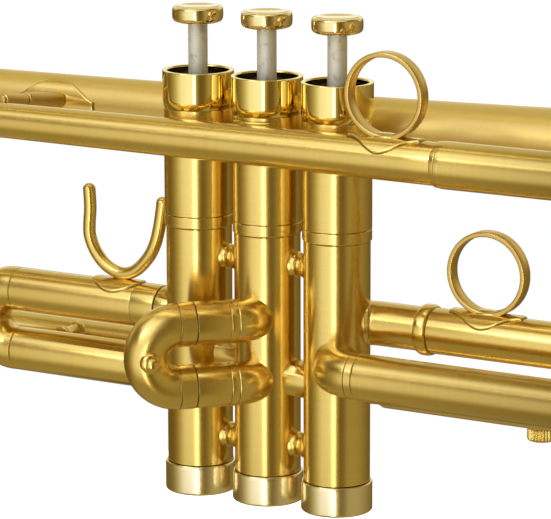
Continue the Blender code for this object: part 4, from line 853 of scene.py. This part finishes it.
def make_second_slide():
    """Elbows and sleeves from the second valve, the bow with its bands, and the pull knob."""
    angle = math.radians(44)
    heading = np.array((-math.sin(angle), -math.cos(angle), 0))
    out = np.array((math.cos(angle), -math.sin(angle), 0))
    port = port_path(0.0, -Y, -X, angle)
    corner = port[-1]
    outer = [
        (6.15, 11.9, 0.08), (6.15, 2.45, 0.08), (6.03, 2.35, 0.04, 1.0), (6.24, 2.2, 0.1),
        (6.24, 0.2, 0.1), (6.05, 0.05, 0.04, 1.0), (6.15, -0.1, 0.05),
    ]
    upper, lower = -5.7, -23.6
    for level, height in (("upper", upper), ("lower", lower)):
        name = f"second_sleeve_{level}"
        pipe(name + "_skin", outer, 5.75, corner + Z * height, heading, ROOT, SATIN, [name], 64)
        sweep(f"second_elbow_{level}", port + Z * height, 6.14, ROOT, SATIN, sides=64, coped=True)
    bow_at, bow_radius, bow_height = 16.75, 8.95, -14.65
    path = u_path(corner[:2], heading, upper, lower, bow_at, 2.2, 2.2)
    path, rise, marks = banded(path, 9.95, 14.5, 9.9, 0.08)
    radii = stepped(path, 5.45, 6.15, 9.85, 9.85)
    body = "second_slide"
    sweep("second_slide_bow_skin", path, radii + rise, body, SATIN, ["second_slide_bow"], 64, marks)
    foot = corner + Z * bow_height + heading * (bow_at + bow_radius) + out * 6.0
    knob = [
        (0.01, 4.4), (1.0, 4.3, 0.6), (1.9, 3.6, 0.8), (2.05, 2.8, 0.6), (1.75, 2.2, 0.3),
        (1.5, 1.95, 0.1, 1.0), (2.4, 1.7, 0.4), (2.95, 1.1, 0.4), (2.95, 0.5, 0.2),
        (2.6, 0.3, 0.1, 0.9), (3.1, -0.6, 0.3), (0.01, -0.6),
    ]
    lathe("pull_knob_skin", knob, foot, out, body, SATIN, ["pull_knob"], closed=False, sides=48)


def make_third_slide():
    """Fixed tubes from the third valve, the lyre holder, and the moving sleeve, bow and ring."""
    angle = math.radians(30)
    leaving = np.array((math.cos(angle), math.sin(angle), 0))
    inside = np.array((math.sin(angle), -math.cos(angle), 0))
    port = port_path(VALVES[3], leaving, inside, angle)
    side = port[-1][1]
    upper, lower = -6.14, -23.61
    upper_at, lower_at = (0, side, upper), (0, side, lower)
    stub = joined(port, line(port[-1], (46.6, side, 0), 12)) + Z * upper
    total = lengths(stub)[-1]
    stub = refined(stub, [2.6, total - 0.1], 1.2)
    length = lengths(stub)
    fillet = 0.4 * np.clip(1 - (length - 1.6) / 1.4, 0, 1) ** 2
    sweep("third_stub", stub, 6.2 + fillet, ROOT, SATIN, sides=64, coped=True)
    inner = [(5.7, 117.0, 0.1), (5.7, 46.0, 0.1)]
    pipe("third_inner_tube_skin", inner, 5.25, upper_at, X, ROOT, SATIN, ["third_inner_tube"])
    neck = joined(port, line(port[-1], (35.4, side, 0), 6)) + Z * lower
    sweep("third_neck", neck, 5.7, ROOT, SATIN, sides=64, coped=True)
    sleeve = [
        (6.39, 121.0, 0.1), (6.39, 35.7, 0.25), (5.72, 34.4, 0.25), (5.6, 34.0, 0.1),
        (5.25, 34.0, 0.1), (6.0, 36.0, 0.1), (6.0, 121.0, 0.1),
    ]
    lathe("third_lower_sleeve_skin", sleeve, lower_at, X, ROOT, SATIN, ["third_lower_sleeve"])
    make_lyre_holder()
    body = "third_slide"
    moving = [
        (6.39, 121.0, 0.1), (6.39, 50.9, 0.05), (6.3, 50.6, 0.05, 0.9), (6.9, 50.4, 0.3),
        (7.2, 49.5, 0.7), (7.2, 47.8, 0.7), (6.9, 46.9, 0.3), (6.3, 46.85, 0.1, 0.8),
    ]
    pipe("third_slide_sleeve_skin", moving, 6.0, upper_at, X, body, SATIN, ["third_slide_sleeve"])
    path = u_path((0, side), X, upper, lower, 123.0, 121.1, 51.3)
    length = lengths(path)[-1]
    path = refined(path, [0.3, length - 69.9])
    radii = stepped(path, 5.7, 6.42, -1, 69.8)
    sweep("third_slide_bow_skin", path, radii, body, SATIN, ["third_slide_bow"], 56)
    finger_ring("third_slide_ring", (66.9, side, upper), 6.39, body)


def make_lyre_holder():
    """The holder block on the sleeve's far side and the knurled thumbscrew under it."""
    at = (78.9, 15.05, -35.81)
    turn = np.linspace(0, math.tau, 64, endpoint=False)
    # A low power of the sine and cosine gives a square with round corners
    c, s = (np.sign(wave) * np.abs(wave) ** 0.25 for wave in (np.cos(turn), np.sin(turn)))
    rows = []
    for height, inset in ((-31.7, 0.5), (-31.3, 0.1), (-20.5, 0.0), (-20.1, 0.5)):
        half_x, low_y, high_y = 6.0 - inset, 11.2, 17.37 - inset
        middle, half_y = (low_y + high_y) / 2, (high_y - low_y) / 2
        level = np.full(len(turn), height)
        rows.append(np.stack([at[0] + half_x * c, middle + half_y * s, level], 1))
    skin("lyre_holder", rows, [0, 0.6, 11.4, 12], np.zeros((4, 2)), ROOT, SATIN)
    ridges = 26
    turn = np.linspace(0, math.tau, ridges * 8, endpoint=False)
    knurl = np.clip(np.cos(ridges * turn) * 1.6, -1, 1) * 0.5 - 0.5
    rows, along = [], []
    for radius, height, depth in (
        (3.3, 0.0, 0.0), (3.75, 0.15, 0.2), (4.0, 0.6, 0.42), (4.0, 3.2, 0.42), (3.75, 3.65, 0.2),
        (3.3, 3.8, 0.0), (1.3, 3.85, 0.0), (1.25, 7.8, 0.0),
    ):
        reach = radius + depth * knurl
        x, y = at[0] + reach * np.cos(turn), at[1] + reach * np.sin(turn)
        rows.append(np.stack([x, y, np.full(len(turn), at[2] + height)], 1))
        along.append(height)
    marks = np.zeros((len(rows), 2))
    skin("lyre_screw_skin", rows, along, marks, "lyre_thumbscrew", SATIN, ["lyre_screw"])


def finger_ring(name, at, tube_radius, body):
    """A flat band bent to a ring, soldered on its pointed plate on top of a tube."""
    saddle_plate(name + "_plate", at, tube_radius, 22.4, 7.0, body)
    centre = np.array((at[0], at[1], at[2] + tube_radius + 11.4))
    band = [
        (11.85, 1.85, 0.25), (11.6, 2.1, 0.25), (10.7, 2.1, 0.25), (10.45, 1.85, 0.25),
        (10.4, 0, 0.5), (10.45, -1.85, 0.25), (10.7, -2.1, 0.25), (11.6, -2.1, 0.25),
        (11.85, -1.85, 0.25), (11.9, 0, 0.5),
    ]
    lathe(name + "_skin", band, centre, Y, body, RING, [name], sides=120)
    solder_foot(name + "_solder", centre - Z * 10.75, body)


def solder_foot(name, at, body):
    """The low oval fillet of solder under a ring, long along the tube and narrow across it."""
    profile = [
        (0.01, 0.75), (2.6, 0.7, 0.4), (4.2, 0.25, 0.6), (5.6, 0.05, 0.4), (5.8, -0.6, 0.1),
        (0.01, -0.6),
    ]
    points, marks = rounded(profile, False)
    oval = circle(X, 0.42 * Y, 48)
    rows = [at + radius * oval + height * Z for radius, height in points]
    skin(name, rows, lengths(points), marks, body, SATIN)


# Braces

def make_front_brace():
    """A stepped rod from the tuning sleeve to the bell, with a socket and a flange at each end."""
    x, sleeve_radius, gap = 108.0, 6.45, 0.1
    start_at = np.array((x, LEADPIPE_AXIS[1] + sleeve_radius + gap, LEADPIPE_AXIS[2]))
    reach = np.array((x, BELL_AXIS[1] - bell_radius(x) - gap, BELL_AXIS[2])) - start_at
    length = np.linalg.norm(reach)
    half = [
        (4.2, 0, 0.3), (4.2, 0.5, 0.4), (3.0, 1.1, 0.7), (2.4, 1.7, 0.5), (2.4, 6.0, 0.3),
        (1.65, 6.4, 0.4),
    ]
    top = [(r, length - h, f) for r, h, f in half]
    name = "front_brace"
    solid(name + "_skin", top + half[::-1], start_at, reach, ROOT, SATIN, [name], 48)


def make_braces():
    """The front and rear braces to the bell, the valve brace, and the tail's small post."""
    make_front_brace()
    foot, end = np.array((-77.55, 12.4, 46.94)), np.array((-79.2, -15.6, 50.71))
    rod = [
        (1.3, 28.3, 0.2), (1.3, 27.4, 0.1), (1.15, 27.3, 0.05, 1.0), (1.7, 27.15, 0.2),
        (1.78, 17.4, 0.2), (1.6, 17.1, 0.1), (1.5, 16.9, 0.05, 1.0), (2.15, 16.6, 0.3),
        (2.2, 1.2, 1.0), (2.35, 0.4, 0.5), (2.35, -1.0, 0.1),
    ]
    solid("rear_brace_skin", rod, foot, end - foot, ROOT, RING, ["rear_brace"], 48)
    plate_at = BELL_AXIS - 79.9 * X
    saddle_plate("rear_brace_plate", plate_at, 7.5, 28.0, 7.6, ROOT, 0.8, 1.2, -math.pi / 2, 1.4)
    u, v = np.meshgrid(np.linspace(-1, 1, 41), np.linspace(-1, 1, 25), indexing="ij")
    casing_radius, half_width, half_height = 9.75, 6.2, 4.0
    inset = np.minimum((1 - np.abs(u)) * half_width, (1 - np.abs(v)) * half_height)
    angle = u * math.radians(36)
    layers = []
    for lift in plate_lifts(inset, 0.4, 0.75, 0.3):
        reach = casing_radius + lift
        grid = reach * np.sin(angle), -reach * np.cos(angle), 46.4 + half_height * v
        layers.append(np.stack(grid, -1))
    sheet("valve_brace_plate", layers, ROOT, ["valve_brace"])
    post = [(2.6, 2.6, 0.3), (2.2, 1.4, 0.4), (2.6, 0, 0.3)]
    solid("valve_brace_post", post, (0, -12.5, 45.4), Y, ROOT, SATIN, sides=36)
    tail = [
        (2.6, 9.0, 0.3), (2.6, 7.6, 0.3), (1.7, 7.0, 0.3), (1.7, 2.0, 0.3), (2.6, 1.4, 0.3),
        (2.6, 0, 0.3),
    ]
    solid("tail_post", tail, (-74.2, 5.8, -22.2), Y, ROOT, SATIN)


# Stage

def make_world():
    """Soft studio light by direction: panels in front and at the sides, strips above, a brown room.

    Directions are degrees: azimuth to the right of the camera, and height above the horizon. Direct
    views of the background are plain white.
    """
    world = bpy.data.worlds.new("studio")
    bpy.context.scene.world = world
    world.use_nodes = True
    tree = world.node_tree
    background = tree.nodes["Background"]
    ray = start(tree, "ShaderNodeTexCoord")
    split = ray.node("ShaderNodeSeparateXYZ", {0: ray})
    x, y, z = (Wire(tree, socket) for socket in split.socket.node.outputs)
    sine, cosine = 0.5075, 0.8617  # of the camera's turn round Z
    front = x * sine - y * cosine
    side = x * cosine + y * sine
    degrees = 180 / math.pi
    azimuth = side.maths("ARCTAN2", front) * degrees
    height = z.maths("ARCSINE") * degrees
    panel = azimuth.window(-110, -30, -20, 8) * height.window(-46, -20, 8, 24)
    upright = azimuth.window(-16, -13.5, -9.5, -7) * height.window(-45, -25, 0, 12)
    shoulder = azimuth.window(-140, -70, -60, -40) * height.window(-50, -30, 10, 30)
    slant = azimuth.node("ShaderNodeClamp", {"Value": azimuth + 61, "Min": -4.0, "Max": 5.0}) * 2.2
    strip = azimuth.window(-120, -72, -25, 15) * (height + slant).window(22, 34, 68, 76)
    strip = strip * (1 - height.between(58, 66))
    overhead = x * 0.228 + y * 0.965 + z * 0.129
    core = overhead.window(-0.024, -0.012, 0.012, 0.024) * height.between(25, 45)
    low_core = azimuth.window(-65, -62, -45, -40) * height.window(29, 31, 35, 37)
    right = azimuth.window(14, 40, 60, 170) * height.window(-50, -25, 20, 45)
    above = height.between(54, 70)
    behind = (1 - front.between(-0.6, -0.25)) * height.window(-6, 14, 50, 70)
    glow = (1 - front.between(-0.95, -0.85)) * height.window(4, 9, 16, 22)
    below = 1 - height.between(-52, -24)
    level = panel * 0.93 + strip * 1.2 + shoulder * 0.14 + right * 0.33
    level = level + above * 0.6 + behind * 0.6 + glow * 0.32 + below * 0.3
    dim = (level * 2).maths("MINIMUM", 1.0).mix((0.33, 0.215, 0.055), (0.66, 0.58, 0.27))
    full = (level * 2 - 1).maths("MINIMUM", 1.0).maths("MAXIMUM", 0.0)
    colour = full.mix(dim, (1.04, 1.04, 0.98))
    room, lamp, tube = 0.49, 6, 7
    light = level * 0.7 + room + (core + low_core) * lamp + upright * tube
    view = start(tree, "ShaderNodeLightPath")
    strength = view.maths("MAXIMUM", light * (1 - view))
    view.mix(colour, (1.0, 1.0, 1.0)).feed(background, "Color")
    strength.feed(background, "Strength")


def make_floor():
    """A plain white floor well below the held instrument, clear when seen from underneath."""
    mesh = bpy.data.meshes.new("floor")
    reach, drop = 0.9, -0.34
    corners = [(x * reach, y * reach, drop) for x, y in ((-1, -1), (1, -1), (1, 1), (-1, 1))]
    mesh.from_pydata(corners, [], [(0, 1, 2, 3)])
    floor = bpy.data.objects.new("floor", mesh)
    bpy.context.scene.collection.objects.link(floor)
    constants = {"Roughness": 0.9, "Emission Color": (1, 1, 1, 1), "Emission Strength": 1.0}
    material, tree, shader = new_material("floor_white", constants)
    noise(place_on(tree), 30.0, 2.0).mix((0.93,) * 3, (0.96,) * 3).feed(shader, "Base Color")
    underneath = start(tree, "ShaderNodeNewGeometry", out=6)
    (1 - underneath).feed(shader, "Alpha")
    mesh.materials.append(material)
    floor.visible_glossy = False
    floor.visible_diffuse = False


def make_camera():
    """The camera fitted to the photo's view of the valve block."""
    data = bpy.data.cameras.new("camera")
    data.sensor_fit = "HORIZONTAL"
    data.sensor_width = 36.0
    data.lens = 225.32
    data.clip_start = 0.05
    data.clip_end = 100.0
    camera = bpy.data.objects.new("camera", data)
    right = Vector((0.86187922, 0.50710823, -0.00233393))
    up = Vector((-0.10375976, 0.18085096, 0.9780219))
    back = Vector((0.49638505, -0.84269459, 0.20848911))
    place = Matrix((right, up, back)).transposed().to_4x4()
    place.translation = Vector((0.48325, -0.815923, 0.211662))
    camera.matrix_world = place
    bpy.context.scene.collection.objects.link(camera)
    bpy.context.scene.camera = camera


bpy.context.scene.view_settings.view_transform = "Standard"
make_camera()
make_world()
make_floor()
for valve in VALVES:
    make_valve(valve)
make_links()
make_bell()
make_leadpipe()
make_tuning_slide()
make_first_slide()
make_second_slide()
make_third_slide()
finger_ring("finger_ring", LEADPIPE_AXIS + 47.6 * X, 5.8, ROOT)
make_braces()
